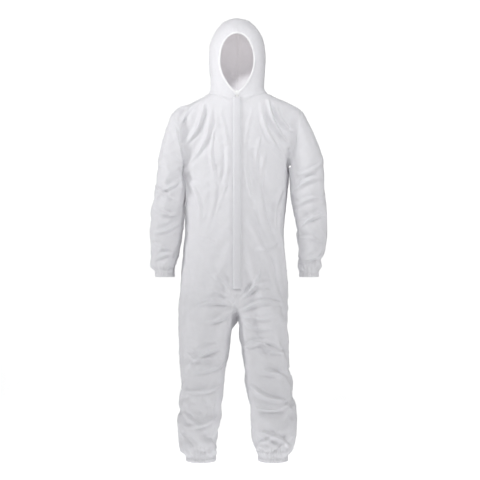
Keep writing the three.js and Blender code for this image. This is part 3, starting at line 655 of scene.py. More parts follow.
points = read_vectors(skin_mesh.vertices, "co", len(skin_mesh.vertices))
rest = read_vectors(skin_mesh.attributes["rest_place"].data, "vector", len(points))
lift = stroke_lift(rest, limb_of(rest)) * held_flat(rest)
write_points(skin_mesh, points + vertex_normals(skin_mesh) * lift[:, None])
skin_mesh = subdivided(skin_mesh)
print(f"folds rise up to {lift.max() * 1000:.1f} mm; sheet: {len(skin_mesh.vertices)} vertices")

# %% [markdown]
# ## Crumple, gathers and seams
# Nonwoven cloth creases like soft paper: broad dents, and finer sharp ridges where they meet. Three sizes of noise
# give this. Elastic gathers the cloth into small waves along the wrists, ankles, face and the back of the waist.

# %% Crumple and gathers
def noise_at(places, size, shift=0.0):
    """Smooth noise from -1 to 1 over the points, with dents about `size` metres wide."""
    return np.array([noise.noise(Vector(place) / size + Vector((shift, 0, 0))) for place in places.tolist()])


def waves_round(turn, count, wander):
    """Gathers from 0 to 1 round a ring; `wander` keeps them uneven."""
    return 0.5 + 0.5 * np.sin(count * turn + 2.5 * wander)


def hem_turn(name, points):
    """Angle of each point round the axis of a hem's ring, and the distance from it."""
    low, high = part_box(name)
    offset = points[:, :2] - np.array([(low[0] + high[0]) / 2, (low[1] + high[1]) / 2])
    return np.arctan2(offset[:, 1], offset[:, 0]), offset


points = read_vectors(skin_mesh.vertices, "co", len(skin_mesh.vertices))
rest = read_vectors(skin_mesh.attributes["rest_place"].data, "vector", len(points))
limbs = limb_of(rest)
x, y, z = rest.T
broad, middling, fine = noise_at(rest, mm(70)), noise_at(rest, mm(30), 5), noise_at(rest, mm(13), 9)
sharp = 1 - np.abs(noise_at(rest, mm(55), 3)) * 2.2
strength = np.where(limbs[TRUNK], 0.75, 1.0)
lift = mm(1.6) * broad + mm(0.9) * middling + mm(0.35) * fine + mm(1.5) * np.clip(sharp, 0, 1) ** 3
lift = lift * strength * held_flat(rest)

WAIST = mm(920)
near_waist = np.exp(-((z - WAIST) / mm(30)) ** 2) * gentle((y + mm(10)) / mm(40)) * limbs[TRUNK]
lift += near_waist * (mm(5) * waves_round(x / mm(4.4), 1, middling + 0.4 * broad) - mm(7))
print(f"crumple from {lift.min() * 1000:.1f} to {lift.max() * 1000:.1f} mm")

# %% [markdown]
# The gathers at the wrists and ankles share one wave with the hem rings made later, so that cloth and hem meet.
# Round the face they fade out over a thumb's width.

# %% Gathers at the hems and the face
CUFF_WAVES, ANKLE_WAVES, FACE_WAVES = 21, 27, 46
CUFF_RIPPLE, ANKLE_RIPPLE = mm(1.8), mm(2.4)


def ring_ripple(turn, waves):
    """Gathers round a ring, from 0 to 1, the same for cloth and hem."""
    return waves_round(turn, waves, np.sin(3 * turn) + np.sin(5 * turn + 1))


for side, sign in (("left", 1), ("right", -1)):
    for hem, top, waves, ripple, reach, on_limb in (
            ("cuff", CUFF_TOP, CUFF_WAVES, CUFF_RIPPLE, mm(60), limbs[SLEEVES]),
            ("ankle", ANKLE_TOP, ANKLE_WAVES, ANKLE_RIPPLE, mm(75), limbs[LEGS])):
        turn, _ = hem_turn(f"{side}_{hem}_hem", rest)
        fade = (1 - gentle((z - top) / reach)) * on_limb * (x * sign > 0)
        swell = 1 + 1.6 * gentle((z - top) / mm(22))
        lift += fade * ripple * swell * ring_ripple(turn, waves)

from_middle = rest - np.array(FACE_MIDDLE)
face_turn = np.arctan2(from_middle[:, 0], from_middle[:, 2])
turns = np.linspace(-math.pi, math.pi, 181)
edge_reach = np.array([(face_curve(turn) - FACE_MIDDLE).length for turn in turns])
from_edge = np.hypot(from_middle[:, 0], from_middle[:, 2]) - np.interp(face_turn, turns, edge_reach)
on_face = (y < 0) & (z > FACE_SILL + mm(6)) & limbs[TRUNK]
face_fade = np.where(on_face, np.exp(-np.clip(from_edge, 0, 1) / mm(16)), 0)
lift = lift * (1 - 0.8 * face_fade) + mm(3) * face_fade * (0.4 + 0.6 * np.cos(face_turn / 2) ** 4) * (waves_round(face_turn, FACE_WAVES, broad) - 0.5)
print("cloth gathered at 4 hems and the face")

# %% [markdown]
# A sewn seam pulls the cloth into a narrow groove, and the cloth puffs up a little and puckers beside it. Each seam
# is given by how far every point lies from it.

# %% Seams
def armhole_line(z):
    return mm(208) + 0.2277 * (z - mm(1190))


def neck_line(x, y):
    """Height of the neck seam: it dips at the throat."""
    front = mm(1424) + mm(42) * gentle(abs(x) / mm(118))
    return np.where(y < 0, front, mm(1466))


seams = [
    (abs(y), limbs[LEGS] | (limbs[TRUNK] & (abs(x) > mm(120)) & (z < mm(1190)))),
    (abs(y - mm(4)), limbs[TRUNK] & (z > mm(1380)) & (z < mm(1470)) & (abs(x) > mm(100))),
    (abs(y), limbs[SLEEVES] & (abs(x) < mm(280)) & (z < mm(1190))),
    (abs(x + mm(26) * gentle((HIP - z) / mm(70))), (y < 0) & (z < HIP + mm(10)) & (z > CROTCH)),
    (abs(x), (y > 0) & (z > CROTCH) & (z < mm(1466))),
    (abs(x), (z > mm(1466)) & (y > mm(20))),
    (abs(abs(x) - armhole_line(z)) * 0.975, (z > mm(1188)) & (z < mm(1400))),
    (abs(z - neck_line(x, y)), limbs[TRUNK] & (z > mm(1400)) & (z < mm(1500))),
]
flat_part = held_flat(rest)
for distance, there in seams:
    distance = np.where(there, distance, 1)
    groove = -mm(1.5) * np.exp(-(distance / mm(2.6)) ** 2) + mm(0.9) * np.exp(-((distance - mm(7)) / mm(4)) ** 2)
    pucker = mm(1.3) * np.exp(-(distance / mm(13)) ** 2) * fine
    lift += (groove + pucker) * flat_part
armhole = np.exp(-(abs(abs(x) - armhole_line(z)) / mm(10)) ** 2)
lift -= mm(7) * armhole * gentle((mm(1350) - z) / mm(90)) * (z > mm(1180)) * ~limbs[LEGS]
normals = vertex_normals(skin_mesh)
points = points + normals * lift[:, None]
for side, sign in (("left", 1), ("right", -1)):
    for hem, top, waves, ripple, on_limb in (("cuff", CUFF_TOP, CUFF_WAVES, CUFF_RIPPLE, limbs[SLEEVES]),
                                             ("ankle", ANKLE_TOP, ANKLE_WAVES, ANKLE_RIPPLE, limbs[LEGS])):
        low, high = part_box(f"{side}_{hem}_hem")
        turn, offset = hem_turn(f"{side}_{hem}_hem", points)
        reach = np.maximum(np.hypot(*offset.T), mm(1))
        at_rim = (high[0] - low[0]) / 2 + ripple * ring_ripple(turn, waves)
        share = (1 - gentle((z - top) / mm(26))) * on_limb * (x * sign > 0)
        points[:, :2] += offset * (share * (at_rim / reach - 1))[:, None]
write_points(skin_mesh, points)
normals = vertex_normals(skin_mesh)
print(len(seams), "kinds of seam")

# %% [markdown]
# ## The front opening
# The two front edges stand 14 mm apart behind the storm flap, with the zip between them. Faces inside the gap are
# dropped, and the edge that is left is drawn straight.

# %% Open the front
ZIP_GAP = mm(7)
quads = np.empty(len(skin_mesh.loops), np.int32)
skin_mesh.loops.foreach_get("vertex_index", quads)
quads = quads.reshape(-1, 4)
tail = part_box("storm_flap")[0][2] + mm(8)
center = rest[quads].mean(axis=1)
in_gap = (center[:, 1] < 0) & (abs(center[:, 0]) < ZIP_GAP) & (center[:, 2] > tail) & (center[:, 2] < mm(1500))
quads, center = quads[~in_gap], center[~in_gap]
by_gap = (y < 0) & (z > tail - mm(3)) & (z < FACE_SILL + mm(20)) & (abs(x) < ZIP_GAP + mm(4)) & (abs(x) > ZIP_GAP - mm(4))
edges = np.sort(np.concatenate([quads[:, (0, 1)], quads[:, (1, 2)], quads[:, (2, 3)], quads[:, (3, 0)]]), axis=1)
pairs, uses = np.unique(edges, axis=0, return_counts=True)
rim_vertices = np.unique(pairs[uses == 1])
is_rim = np.zeros(len(points), bool)
is_rim[rim_vertices] = True
snap = by_gap & is_rim
points[snap, 0] = np.sign(points[snap, 0]) * ZIP_GAP
print(int(in_gap.sum()), "faces dropped,", int(snap.sum()), "edge points straightened")

# %% [markdown]
# ## Cut the sheet into its panels
# The real suit has a front and a back to each side, a sleeve, and two hood halves, sewn at the seams above. Where
# cloth crosses a joint, the panel is also divided at a line that can't be seen. Both sides of such a line keep
# the normals of the undivided sheet.

# %% Which piece each face belongs to
HIP_START, HIP_END = mm(648), mm(458)  # where the centre line crosses the top and bottom of the hip's bending zone
TILT = 0.4
ELBOW_SPLIT = mm(1062)

where = points[quads].mean(axis=1)
midway = np.interp(where[:, 2], [mm(340), mm(590), mm(650)], [mm(-10), mm(-4), 0])  # between the legs
side_index = (where[:, 0] < midway).astype(int)  # 0 left, 1 right
at_back = center[:, 1] > 0
above_neck = center[:, 2] > np.where(center[:, 1] < 0, mm(1424) + mm(42) * gentle(abs(center[:, 0]) / mm(118)), mm(1466))
center_limbs = limb_of(center)
leg_level = where[:, 2] - TILT * abs(where[:, 0])
names = ["front_panel", "back_panel", "hood_panel", "upper_sleeve", "forearm_sleeve",
         "thigh_front", "thigh_back", "shin_front", "shin_back"]
kind = np.where(at_back, 1, 0)
below_hip = (leg_level < HIP_START) & ~center_limbs[SLEEVES]
kind = np.where(below_hip, np.where(at_back, 6, 5), kind)
kind = np.where(below_hip & (leg_level < HIP_END), np.where(at_back, 8, 7), kind)
kind = np.where(center_limbs[SLEEVES], np.where(where[:, 2] > ELBOW_SPLIT, 3, 4), kind)
kind = np.where(~center_limbs[SLEEVES] & ~below_hip & above_neck, 2, kind)
for k, name in enumerate(names):
    print(f"{name}: {int(((kind == k) & (side_index == 0)).sum())} left, {int(((kind == k) & (side_index == 1)).sum())} right")

# %% [markdown]
# Each piece gets an inner face half a millimetre behind its outer one, and a strip round its edge that closes the
# two.

# %% Make the pieces
CLOTH_THICK = mm(0.5)


def cloth_piece(name, faces, offset=0.0, thick=CLOTH_THICK):
    """A closed piece of cloth from some quads of the sheet, moved `offset` along its normals."""
    used, local = np.unique(faces, return_inverse=True)
    local = local.reshape(-1, 4)
    count = len(used)
    outer = points[used] + normals[used] * offset
    inner = outer - normals[used] * thick
    edges = np.concatenate([local[:, (0, 1)], local[:, (1, 2)], local[:, (2, 3)], local[:, (3, 0)]])
    keys, first, uses = np.unique(np.sort(edges, axis=1), axis=0, return_index=True, return_counts=True)
    rim = edges[first[uses == 1]]
    rim_faces = np.stack([rim[:, 1], rim[:, 0], rim[:, 0] + count, rim[:, 1] + count], axis=1)
    faces = np.concatenate([local, local[:, ::-1] + count, rim_faces])
    mesh = bpy.data.meshes.new(name)
    mesh.from_pydata(np.concatenate([outer, inner]).tolist(), [], faces.tolist())
    mesh.normals_split_custom_set_from_vertices(np.concatenate([normals[used], -normals[used]]).tolist())
    return new_object(name, mesh)


pieces = {}
for s, side in enumerate(("left", "right")):
    for k, name in enumerate(names):
        pieces[f"{side}_{name}"] = cloth_piece(f"{side}_{name}_cloth", quads[(kind == k) & (side_index == s)])
print(len(pieces), "pieces,", sum(len(p.data.polygons) for p in pieces.values()), "faces")

# %% [markdown]
# ## Hem rings
# The wrist and ankle hems are turned inwards over their elastic. Each is a channel, open on its inner side, whose
# outer wall carries the same gathers as the cloth above it.

# %% Wrist and ankle hems
HEM_WALL, HEM_DEPTH, HEM_POINTS = mm(1.6), mm(5.4), 216


def hem_profile(radius, low, high):
    """Corners of the channel, as (radius, height, share of the gathers)."""
    inside, wall = radius - HEM_DEPTH, radius - HEM_WALL
    middle = (low + high) / 2
    return [
        (inside, low + mm(0.3), 0), (inside + mm(0.5), low, 0), (radius - mm(1.4), low, 0.3), (radius - mm(0.3), low + mm(0.9), 0.7),
        (radius, low + mm(2.4), 1), (radius + mm(0.3), middle - mm(3), 1), (radius + mm(0.3), middle + mm(3), 1),
        (radius - mm(0.1), high - mm(3.2), 1), (radius - mm(0.7), high - mm(2.6), 0.8), (radius - mm(0.1), high - mm(2), 1),
        (radius - mm(0.2), high - mm(0.8), 1), (radius - mm(0.8), high, 0.8), (inside + mm(0.5), high, 0),
        (inside, high - mm(0.3), 0), (inside, high - HEM_WALL, 0), (wall, high - HEM_WALL, 0), (wall, low + HEM_WALL, 0),
        (inside, low + HEM_WALL, 0),
    ]


def hem_ring(name, node, waves, ripple):
    low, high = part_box(node)
    middle_x, middle_y = (low[0] + high[0]) / 2, (low[1] + high[1]) / 2
    bm = bmesh.new()
    rings = []
    for radius, height, share in hem_profile((high[0] - low[0]) / 2, low[2], high[2]):
        ring = bmesh.ops.create_circle(bm, segments=HEM_POINTS, radius=1)["verts"]
        for i, vertex in enumerate(ring):
            turn = 2 * math.pi * i / HEM_POINTS
            reach = radius + share * ripple * ring_ripple(turn, waves)
            vertex.co = (middle_x + reach * math.cos(turn), middle_y + reach * math.sin(turn), height)
        rings.append([bm.edges.get((ring[i - 1], ring[i])) for i in range(HEM_POINTS)])
    for near, far in zip(rings, rings[1:] + rings[:1]):
        bmesh.ops.bridge_loops(bm, edges=near + far)
    bmesh.ops.recalc_face_normals(bm, faces=bm.faces)
    for face in bm.faces:
        face.smooth = True
    return new_object(name, bm)


hems = {}
for side in ("left", "right"):
    hems[f"{side}_cuff_hem"] = hem_ring(f"{side}_cuff_hem_cloth", f"{side}_cuff_hem", CUFF_WAVES, CUFF_RIPPLE)
    hems[f"{side}_ankle_hem"] = hem_ring(f"{side}_ankle_hem_cloth", f"{side}_ankle_hem", ANKLE_WAVES, ANKLE_RIPPLE)
print(len(hems), "hem rings,", sum(len(h.data.polygons) for h in hems.values()), "faces")

# %% [markdown]
# ## Face binding
# The face opening is bound with a narrow bright tape over elastic. It follows the rim of the cloth and is gathered
# into small even waves.

# %% Bind the face opening
BINDING_POINTS, BINDING_WAVES = 560, 112
on_rim = is_rim & (z > FACE_SILL - mm(12)) & (abs(x) < mm(90)) & (y < 0) & ~(by_gap & (z < FACE_SILL - mm(2)))
rim_turn, rim_points = face_turn[on_rim], points[on_rim]
order = np.argsort(rim_turn)
rim_turn, rim_points = rim_turn[order], rim_points[order]
loop_turns = np.linspace(-math.pi, math.pi, BINDING_POINTS, endpoint=False)
loop = np.stack([np.interp(loop_turns, rim_turn, rim_points[:, k], period=2 * math.pi) for k in range(3)], axis=1)
for _ in range(14):
    loop = (np.roll(loop, 1, axis=0) + 2 * loop + np.roll(loop, -1, axis=0)) / 4

binding_profile = [(-2.6, 0), (-2.4, 1.3), (-1.2, 2), (0.8, 2.1), (2.8, 1.9), (3.3, 1.4), (3.9, 1.6), (4.8, 1.3),
                   (5.2, 0.5), (5, -0.6), (2, -1.6), (-1, -2), (-2.4, -1.2)]
bm = bmesh.new()
rings = []
for i in range(BINDING_POINTS):
    run = Vector(loop[(i + 1) % BINDING_POINTS] - loop[i - 1]).normalized()
    outwards = Vector((loop[i][0], 0, loop[i][2] - FACE_MIDDLE.z))
    outwards = (outwards - outwards.dot(run) * run).normalized()
    forwards = run.cross(outwards).normalized()
    if forwards.y > 0:
        forwards = -forwards
    gather = 0.5 + 0.5 * math.sin(2 * math.pi * BINDING_WAVES * i / BINDING_POINTS + 1.5 * noise.noise(Vector(loop[i]) * 40))
    ring = bmesh.ops.create_circle(bm, segments=len(binding_profile), radius=1)["verts"]
    for vertex, (across, front) in zip(ring, binding_profile):
        rise = mm(front) * (0.85 + 0.35 * gather)
        vertex.co = Vector(loop[i]) + outwards * mm(across) * (0.96 + 0.08 * gather) + forwards * rise
    rings.append([bm.edges.get((ring[k - 1], ring[k])) for k in range(len(ring))])
for near, far in zip(rings, rings[1:] + rings[:1]):
    bmesh.ops.bridge_loops(bm, edges=near + far)
bmesh.ops.recalc_face_normals(bm, faces=bm.faces)
for face in bm.faces:
    face.smooth = True
binding = new_object("face_binding_cloth", bm)
print("binding:", len(binding.data.polygons), "faces,", f"{sum(Vector(loop[i] - loop[i - 1]).length for i in range(BINDING_POINTS)) * 1000:.0f} mm round")

# %% [markdown]
# ## Waist elastic
# A flat elastic is sewn inside the back panels at the waist. It follows the gathered cloth just behind its inner
# face.

# %% Waist elastic
elastic_band = (abs(center[:, 2] - WAIST) < mm(10)) & (center[:, 1] > mm(-24)) & center_limbs[TRUNK]
waist_elastic = cloth_piece("waist_elastic_band", quads[elastic_band], offset=-mm(1.2), thick=mm(1))
print("waist elastic:", len(waist_elastic.data.polygons), "faces")

# %% [markdown]
# ## Storm flap
# The flap covers the zip from just under the throat to below the hips. It is a strip sewn down along one edge and
# stuck down along the other, with a low crown between them for the slider. It leans with the centre-front line.

# %% Build the storm flap
flap_low, flap_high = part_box("storm_flap")
up_line = -Vector(zip_axis)
out_line = up_line.cross(Vector((1, 0, 0)))
front_origin = Vector((0, front_line(HIP), HIP))
if out_line.y < 0:
    out_line = -out_line


def on_front(across, out, height):
    """A point in the zip's own frame: across the suit, out from the cloth's face, and up from hip height."""
    return front_origin + Vector((across, 0, 0)) - out_line * out + up_line * height


flap_base = (flap_low[2] - HIP) / up_line.z
flap_top = (flap_high[2] - HIP) / up_line.z - mm(0.3)
FLAP_HALF = flap_high[0]
flap_section = through([(-20.5, 1.5), (-15.5, 1.8), (-13.5, 3.4), (-10.5, 6.8), (-6, 7.5), (0, 7.6), (7, 7.5), (11, 6.9),
                        (13.4, 4.4), (15.5, 3.2), (20.5, 3)])
FLAP_ACROSS, FLAP_ALONG = 40, 300
bm = bmesh.new()
bmesh.ops.create_grid(bm, x_segments=FLAP_ACROSS, y_segments=FLAP_ALONG, size=1)
for vertex in bm.verts:
    across, height = vertex.co.x * FLAP_HALF, flap_base + (vertex.co.y + 1) / 2 * (flap_top - flap_base)
    crown = mm(flap_section(across * 1000))
    free = ease((mm(13) - abs(across)) / mm(8))
    dent = noise.noise(Vector((across * 14, height * 5, 0.3))) * mm(0.55) * free
    dent += noise.noise(Vector((across * 40, height * 22, 4.1))) * mm(0.25)
    stitch = -mm(0.45) * sum(math.exp(-((across * 1000 - line) / 0.7) ** 2) for line in (-17.6, 17.4))
    edge_wave = mm(0.25) * math.sin(height * 160) * ease((abs(across) - mm(14)) / mm(6))
    vertex.co = on_front(across, crown + dent + stitch + edge_wave - mm(0.1), height)
bmesh.ops.recalc_face_normals(bm, faces=bm.faces)
if sum(face.normal.y for face in bm.faces) > 0:
    bmesh.ops.reverse_faces(bm, faces=bm.faces)
bmesh.ops.solidify(bm, geom=bm.faces, thickness=mm(0.9))
for face in bm.faces:
    face.smooth = True
flap = new_object("storm_flap_cloth", bm)
print("flap:", len(flap.data.polygons), "faces")

# %% [markdown]
# ## Zip teeth
# The zip is a nylon coil. Its loops alternate from the two tapes and lock together along the middle.

# %% Zip coils
def coil(node, sign):
    """One side's teeth, from the lower to the upper end of its CAD bar."""
    low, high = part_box(node)
    base, top = (low[2] - HIP) / up_line.z, (high[2] - HIP) / up_line.z
    depth = -((low[1] + high[1]) / 2 - front_line((low[2] + high[2]) / 2)) / up_line.z
    bm = bmesh.new()
    count = int((top - base) / mm(2.4))
    for i in range(count):
        height = base + mm(0.8) + i * mm(2.4) + (mm(1.2) if sign > 0 else 0)
        tooth = bmesh.ops.create_cube(bm, size=1)["verts"]
        for vertex in tooth:
            across, deep, rise = vertex.co
            taper = 0.75 if across * sign < 0 else 1
            vertex.co = on_front(sign * mm(1.95) + across * mm(3.1), depth + deep * mm(2.1) * taper, height + rise * mm(1.15))
    bmesh.ops.bevel(bm, geom=bm.edges[:], offset=mm(0.25), segments=1, profile=0.5, affect="EDGES", material=-1)
    return new_object(f"{node}_coil", bm)


coils = {node: coil(node, sign) for node, sign in (("zip_chain_left", 1), ("zip_chain_right", -1))}
print("coil:", sum(len(c.data.polygons) for c in coils.values()), "faces")

# %% [markdown]
# ## Materials
# Colours are given as they look, and turned to the linear values that the shader wants. The cloth is spunbonded
# film: a fine embossed dot pattern, faint cloudiness where the fibres lie thicker, and almost no gloss.

# %% Helpers for materials
def linear(hex_colour):
    """A colour such as "#f4f3f1" in the linear values that shaders use."""
    values = [int(hex_colour[i:i + 2], 16) / 255 for i in (1, 3, 5)]
    return [v / 12.92 if v <= 0.04045 else ((v + 0.055) / 1.055) ** 2.4 for v in values] + [1]


def add_node(material, kind, inputs=None, **settings):
    """Adds a node, sets its properties, and fills or links its inputs."""
    node = material.node_tree.nodes.new(kind)
    for key, value in settings.items():
        setattr(node, key, value)
    for key, value in (inputs or {}).items():
        if isinstance(value, bpy.types.NodeSocket):
            material.node_tree.links.new(value, node.inputs[key])
        else:
            node.inputs[key].default_value = value
    return node


def start_material(name, **shader_inputs):
    material = bpy.data.materials.new(name)
    material.use_nodes = True
    shader = material.node_tree.nodes["Principled BSDF"]
    for key, value in shader_inputs.items():
        shader.inputs[key.replace("_", " ")].default_value = value
    place = add_node(material, "ShaderNodeTexCoord").outputs["Object"]
    return material, shader, place


def tint(material, shader, amount, low, high, place=None):
    """Mixes two colours by a value into the base colour."""
    ramp = add_node(material, "ShaderNodeMix", {"Factor": amount}, data_type="RGBA")
    ramp.inputs[6].default_value, ramp.inputs[7].default_value = linear(low), linear(high)
    material.node_tree.links.new(ramp.outputs[2], shader.inputs["Base Color"])


def bump(material, shader, height, distance, strength=1.0, under=None):
    inputs = {"Height": height, "Distance": distance, "Strength": strength}
    if under is not None:
        inputs["Normal"] = under
    node = add_node(material, "ShaderNodeBump", inputs)
    material.node_tree.links.new(node.outputs["Normal"], shader.inputs["Normal"])
    return node.outputs["Normal"]


print("cloth white:", [round(v, 3) for v in linear("#f4f3f2")])

# %% [markdown]
# The emboss is a cell pattern a little over a millimetre across; the fibres are a stretched fine noise.

# %% White nonwoven cloth
def nonwoven(name, low, high, emboss=1.0, thin=0.3, glow="#f9f8fa"):
    material, shader, place = start_material(name, Roughness=0.72)
    shader.inputs["Sheen Weight"].default_value = 0.12
    shader.inputs["Sheen Roughness"].default_value = 0.5
    shader.inputs["Specular IOR Level"].default_value = 0.32
    clouds = add_node(material, "ShaderNodeTexNoise", {"Vector": place, "Scale": 34.0, "Detail": 5.0, "Roughness": 0.6})
    tint(material, shader, clouds.outputs["Fac"], low, high)
    dots = add_node(material, "ShaderNodeTexVoronoi", {"Vector": place, "Scale": 620.0, "Randomness": 0.35})
    fibres = add_node(material, "ShaderNodeTexNoise", {"Vector": place, "Scale": 900.0, "Detail": 3.0, "Roughness": 0.7})
    creases = add_node(material, "ShaderNodeTexNoise", {"Vector": place, "Scale": 75.0, "Detail": 6.0, "Roughness": 0.62,
                                                        "Distortion": 0.6})
    rough = add_node(material, "ShaderNodeMapRange", {"Value": fibres.outputs["Fac"], "To Min": 0.62, "To Max": 0.84})
    material.node_tree.links.new(rough.outputs["Result"], shader.inputs["Roughness"])
    normal = bump(material, shader, creases.outputs["Fac"], mm(1.6), 0.55)
    normal = bump(material, shader, dots.outputs["Distance"], mm(0.16) * emboss, 0.8, normal)
    normal = bump(material, shader, fibres.outputs["Fac"], mm(0.05), 0.6, normal)
    through_light = add_node(material, "ShaderNodeBsdfTranslucent", {"Color": linear(glow), "Normal": normal})
    both = add_node(material, "ShaderNodeMixShader", {"Fac": thin})
    surface = material.node_tree.nodes["Material Output"].inputs["Surface"]
    material.node_tree.links.new(shader.outputs[0], both.inputs[1])
    material.node_tree.links.new(through_light.outputs[0], both.inputs[2])
    material.node_tree.links.new(both.outputs[0], surface)
    return material


cloth_white = nonwoven("spunbonded_white_cloth", "#e3e3e6", "#eeeef1")
# The flap is the same cloth as the suit. Its colours are painted a little darker as shade, to offset the front light
# that falls on its face.
flap_white_painted_shade = nonwoven("spunbonded_white_flap_painted_shade", "#dedee2", "#e9e9ec", 0.8)
binding_white = nonwoven("folded_white_binding", "#f4f4f6", "#fefeff", 0.4)
print("cloth materials:", cloth_white.name, flap_white_painted_shade.name, binding_white.name)

# %% [markdown]
# The smaller parts: ribbed elastic braid, woven zip tape, nylon, and a pale strip of adhesive.

# %% Elastic, tape, nylon and adhesive
def braided(name, colour_low, colour_high, scale, depth):
    material, shader, place = start_material(name, Roughness=0.85)
    ribs = add_node(material, "ShaderNodeTexWave", {"Vector": place, "Scale": scale, "Distortion": 0.4}, bands_direction="Z")
    cross = add_node(material, "ShaderNodeTexWave", {"Vector": place, "Scale": scale * 0.8}, bands_direction="X")
    both = add_node(material, "ShaderNodeMath", {0: ribs.outputs["Fac"], 1: cross.outputs["Fac"]}, operation="MULTIPLY")
    tint(material, shader, both.outputs[0], colour_low, colour_high)
    bump(material, shader, both.outputs[0], depth, 0.8)
    return material


def moulded(name, colour_low, colour_high, roughness):
    material, shader, place = start_material(name, Roughness=roughness)
    grain = add_node(material, "ShaderNodeTexNoise", {"Vector": place, "Scale": 420.0, "Detail": 3.0})
    tint(material, shader, grain.outputs["Fac"], colour_low, colour_high)
    bump(material, shader, grain.outputs["Fac"], mm(0.04), 0.5)
    return material


elastic_mat = braided("off_white_elastic_braid", "#d9d6cf", "#efece6", 260.0, mm(0.25))
tape_mat = braided("white_woven_tape", "#e6e6e6", "#f6f6f6", 520.0, mm(0.12))
nylon_mat = moulded("white_nylon", "#efefed", "#fafaf8", 0.38)
painted_mat = moulded("white_painted_slider", "#f2f2f2", "#ffffff", 0.3)
adhesive_mat = moulded("pale_adhesive_film", "#dcdacf", "#ebe9e0", 0.25)


def dress(obj, material):
    obj.data.materials.clear()
    obj.data.materials.append(material)


def dress_node(name, material):
    """A CAD node keeps its shape and gets a better material."""
    for material_slot in bpy.data.objects[name].material_slots:
        material_slot.material = material


print("small materials made")

# %% [markdown]
# ## Join the cloth to the moving bodies
# Trunk panels, the waist elastic and the zip coils ride on the torso, the cuff and ankle hems on the forearms and
# lower legs, and the storm flap on the flap's body. The hood, sleeve and leg pieces and the face binding have their
# places baked into their meshes and ride on no body.

# %% Bodies of the cloth
def along(start, direction, length):
    return tuple(Vector(start) + Vector(direction).normalized() * length)


for side, sign in (("left", 1), ("right", -1)):
    for name in ("front_panel", "back_panel"):
        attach(pieces[f"{side}_{name}"], "torso")
    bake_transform(pieces[f"{side}_hood_panel"])
    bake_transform(pieces[f"{side}_upper_sleeve"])
    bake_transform(pieces[f"{side}_forearm_sleeve"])
    for face in ("front", "back"):
        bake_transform(pieces[f"{side}_thigh_{face}"])
        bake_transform(pieces[f"{side}_shin_{face}"])
    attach(hems[f"{side}_cuff_hem"], f"{side}_forearm")
    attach(hems[f"{side}_ankle_hem"], f"{side}_lower_leg")
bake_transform(binding)
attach(waist_elastic, "torso")
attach(flap, "flap")
for node, teeth in coils.items():
    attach(teeth, "torso")
print("bodies joined")

# %% [markdown]
# Each new piece stands for the CAD node of the same name, which is hidden, and is given its own finish.

# %% Stand-ins and finishes
for name, piece in {**pieces, **hems}.items():
    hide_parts(name)
    dress(piece, cloth_white)
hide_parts("face_hem", "face_elastic")
dress(binding, binding_white)
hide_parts("waist_elastic")
dress(waist_elastic, elastic_mat)
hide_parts("storm_flap")
# The flap gets the copy of the cloth that is painted darker as shade.
dress(flap, flap_white_painted_shade)
for node, teeth in coils.items():
    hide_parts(node)
    dress(teeth, nylon_mat)


def dress_nodes(material, *nodes):
    """CAD nodes keep their shape and get a better material."""
    for node in nodes:
        for material_slot in frame["nodes"][node].material_slots:
            material_slot.material = material


dress_nodes(elastic_mat, *[f"{side}_{hem}_elastic" for side in ("left", "right") for hem in ("cuff", "ankle")])
dress_nodes(tape_mat, "zip_tape_left", "zip_tape_right")
dress_nodes(nylon_mat, "zip_top_stop_left", "zip_top_stop_right", "zip_bottom_stop", "zip_pull")
dress_nodes(painted_mat, "zip_slider")
dress_nodes(adhesive_mat, "flap_adhesive")
print("finishes given")

# %% [markdown]
# ## What is sewn on
# Each cuff hem is sewn to its forearm sleeve, each ankle hem to its shin front, and the face binding to the left
# hood panel. No pattern was at hand, and the flat sizes of the sheets are not given here.

sewn_on = {f"{side}_forearm_sleeve": [hems[f"{side}_cuff_hem"]] for side in ("left", "right")}
sewn_on |= {f"{side}_shin_front": [hems[f"{side}_ankle_hem"]] for side in ("left", "right")}
sewn_on["left_hood_panel"] = [binding]
print(len(pieces) + 1, "sheets declared")

# %% [markdown]
# ## Studio
# A white sweep stands under and behind the suit. Two soft lights come from the sides, one from above and one from
# the front, a faint warm one lightens the inside of the hood, and a long lens looks level from the front.

# %% Floor and backdrop
SWEEP_NEAR, SWEEP_FAR, SWEEP_CURVE, SWEEP_HALF, SWEEP_TOP = -8, 7.5, 1.6, 9, 9
curve = [step * math.pi / 16 for step in range(9)]
sweep_line = [(SWEEP_NEAR, 0)]
sweep_line += [(SWEEP_FAR + SWEEP_CURVE * math.sin(turn), SWEEP_CURVE * (1 - math.cos(turn))) for turn in curve]
sweep_line += [(SWEEP_FAR + SWEEP_CURVE, SWEEP_TOP)]
bm = bmesh.new()
near = [bm.verts.new((-SWEEP_HALF, y_place, z_place - mm(1))) for y_place, z_place in sweep_line]
spine = [bm.edges.new(pair) for pair in zip(near, near[1:])]
grown = bmesh.ops.extrude_edge_only(bm, edges=spine)["geom"]
for vertex in grown:
    if isinstance(vertex, bmesh.types.BMVert):
        vertex.co.x += 2 * SWEEP_HALF
bmesh.ops.recalc_face_normals(bm, faces=bm.faces)
for face in bm.faces:
    face.smooth = True
sweep = new_object("studio_sweep", bm)
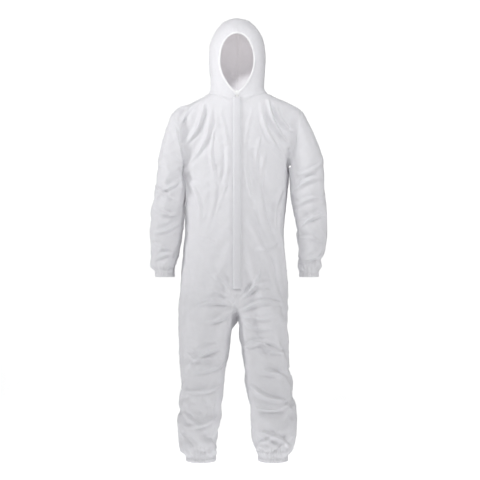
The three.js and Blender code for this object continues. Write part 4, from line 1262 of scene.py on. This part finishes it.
paper, paper_shader, place = start_material("white_paper_sweep", Roughness=0.9)
mottle = add_node(paper, "ShaderNodeTexNoise", {"Vector": place, "Scale": 3.0, "Detail": 2.0})
tint(paper, paper_shader, mottle.outputs["Fac"], "#f4f4f4", "#f8f8f8")
paper_shader.inputs["Emission Color"].default_value = (1, 1, 1, 1)
paper_shader.inputs["Emission Strength"].default_value = 0.72
sweep.data.materials.append(paper)
print("sweep:", len(sweep.data.polygons), "faces")


# %% Lights and camera
def soft_light(name, place, target, energy, size, beam):
    light = bpy.data.lights.new(name, "AREA")
    light.shape, light.size, light.energy = "DISK", size, energy
    light.spread = math.radians(beam)
    holder = bpy.data.objects.new(name, light)
    bpy.context.scene.collection.objects.link(holder)
    holder.location = place
    holder.rotation_euler = (Vector(target) - Vector(place)).to_track_quat("-Z", "Y").to_euler()


# name, place, target, energy, size and beam
soft_light("key", (-3.4, -1.0, 1.9), (0, 0, 1.3), 8.2, 0.7, 70)
soft_light("far_side", (2.8, -1.4, 2.4), (0, 0, 1.0), 8.2, 0.8, 90)
soft_light("overhead", (-0.6, -2.2, 3.2), (0, 0, 1.5), 6, 0.5, 60)
soft_light("front_fill", (0, -4.2, 0.9), (0, 0, 0.7), 4, 1.6, 90)
soft_light("in_the_hood", (0, -0.03, 1.65), (0, 0.2, 1.66), 0.07, 0.08, 170)
bpy.data.lights["in_the_hood"].color = (1, 0.9, 0.85)
world = bpy.data.worlds.new("studio_air")
world.use_nodes = True
world.node_tree.nodes["Background"].inputs["Color"].default_value = (1, 1, 1, 1)
world.node_tree.nodes["Background"].inputs["Strength"].default_value = 0.06
bpy.context.scene.world = world
bpy.context.scene.view_settings.view_transform = "Standard"

lens = bpy.data.cameras.new("camera")
lens.lens, lens.sensor_width = 100, 36
camera = bpy.data.objects.new("camera", lens)
bpy.context.scene.collection.objects.link(camera)
camera.location = (mm(12), -5.333, mm(884))
camera.rotation_euler = (math.pi / 2, 0, 0)
bpy.context.scene.camera = camera
print("camera and lights set")
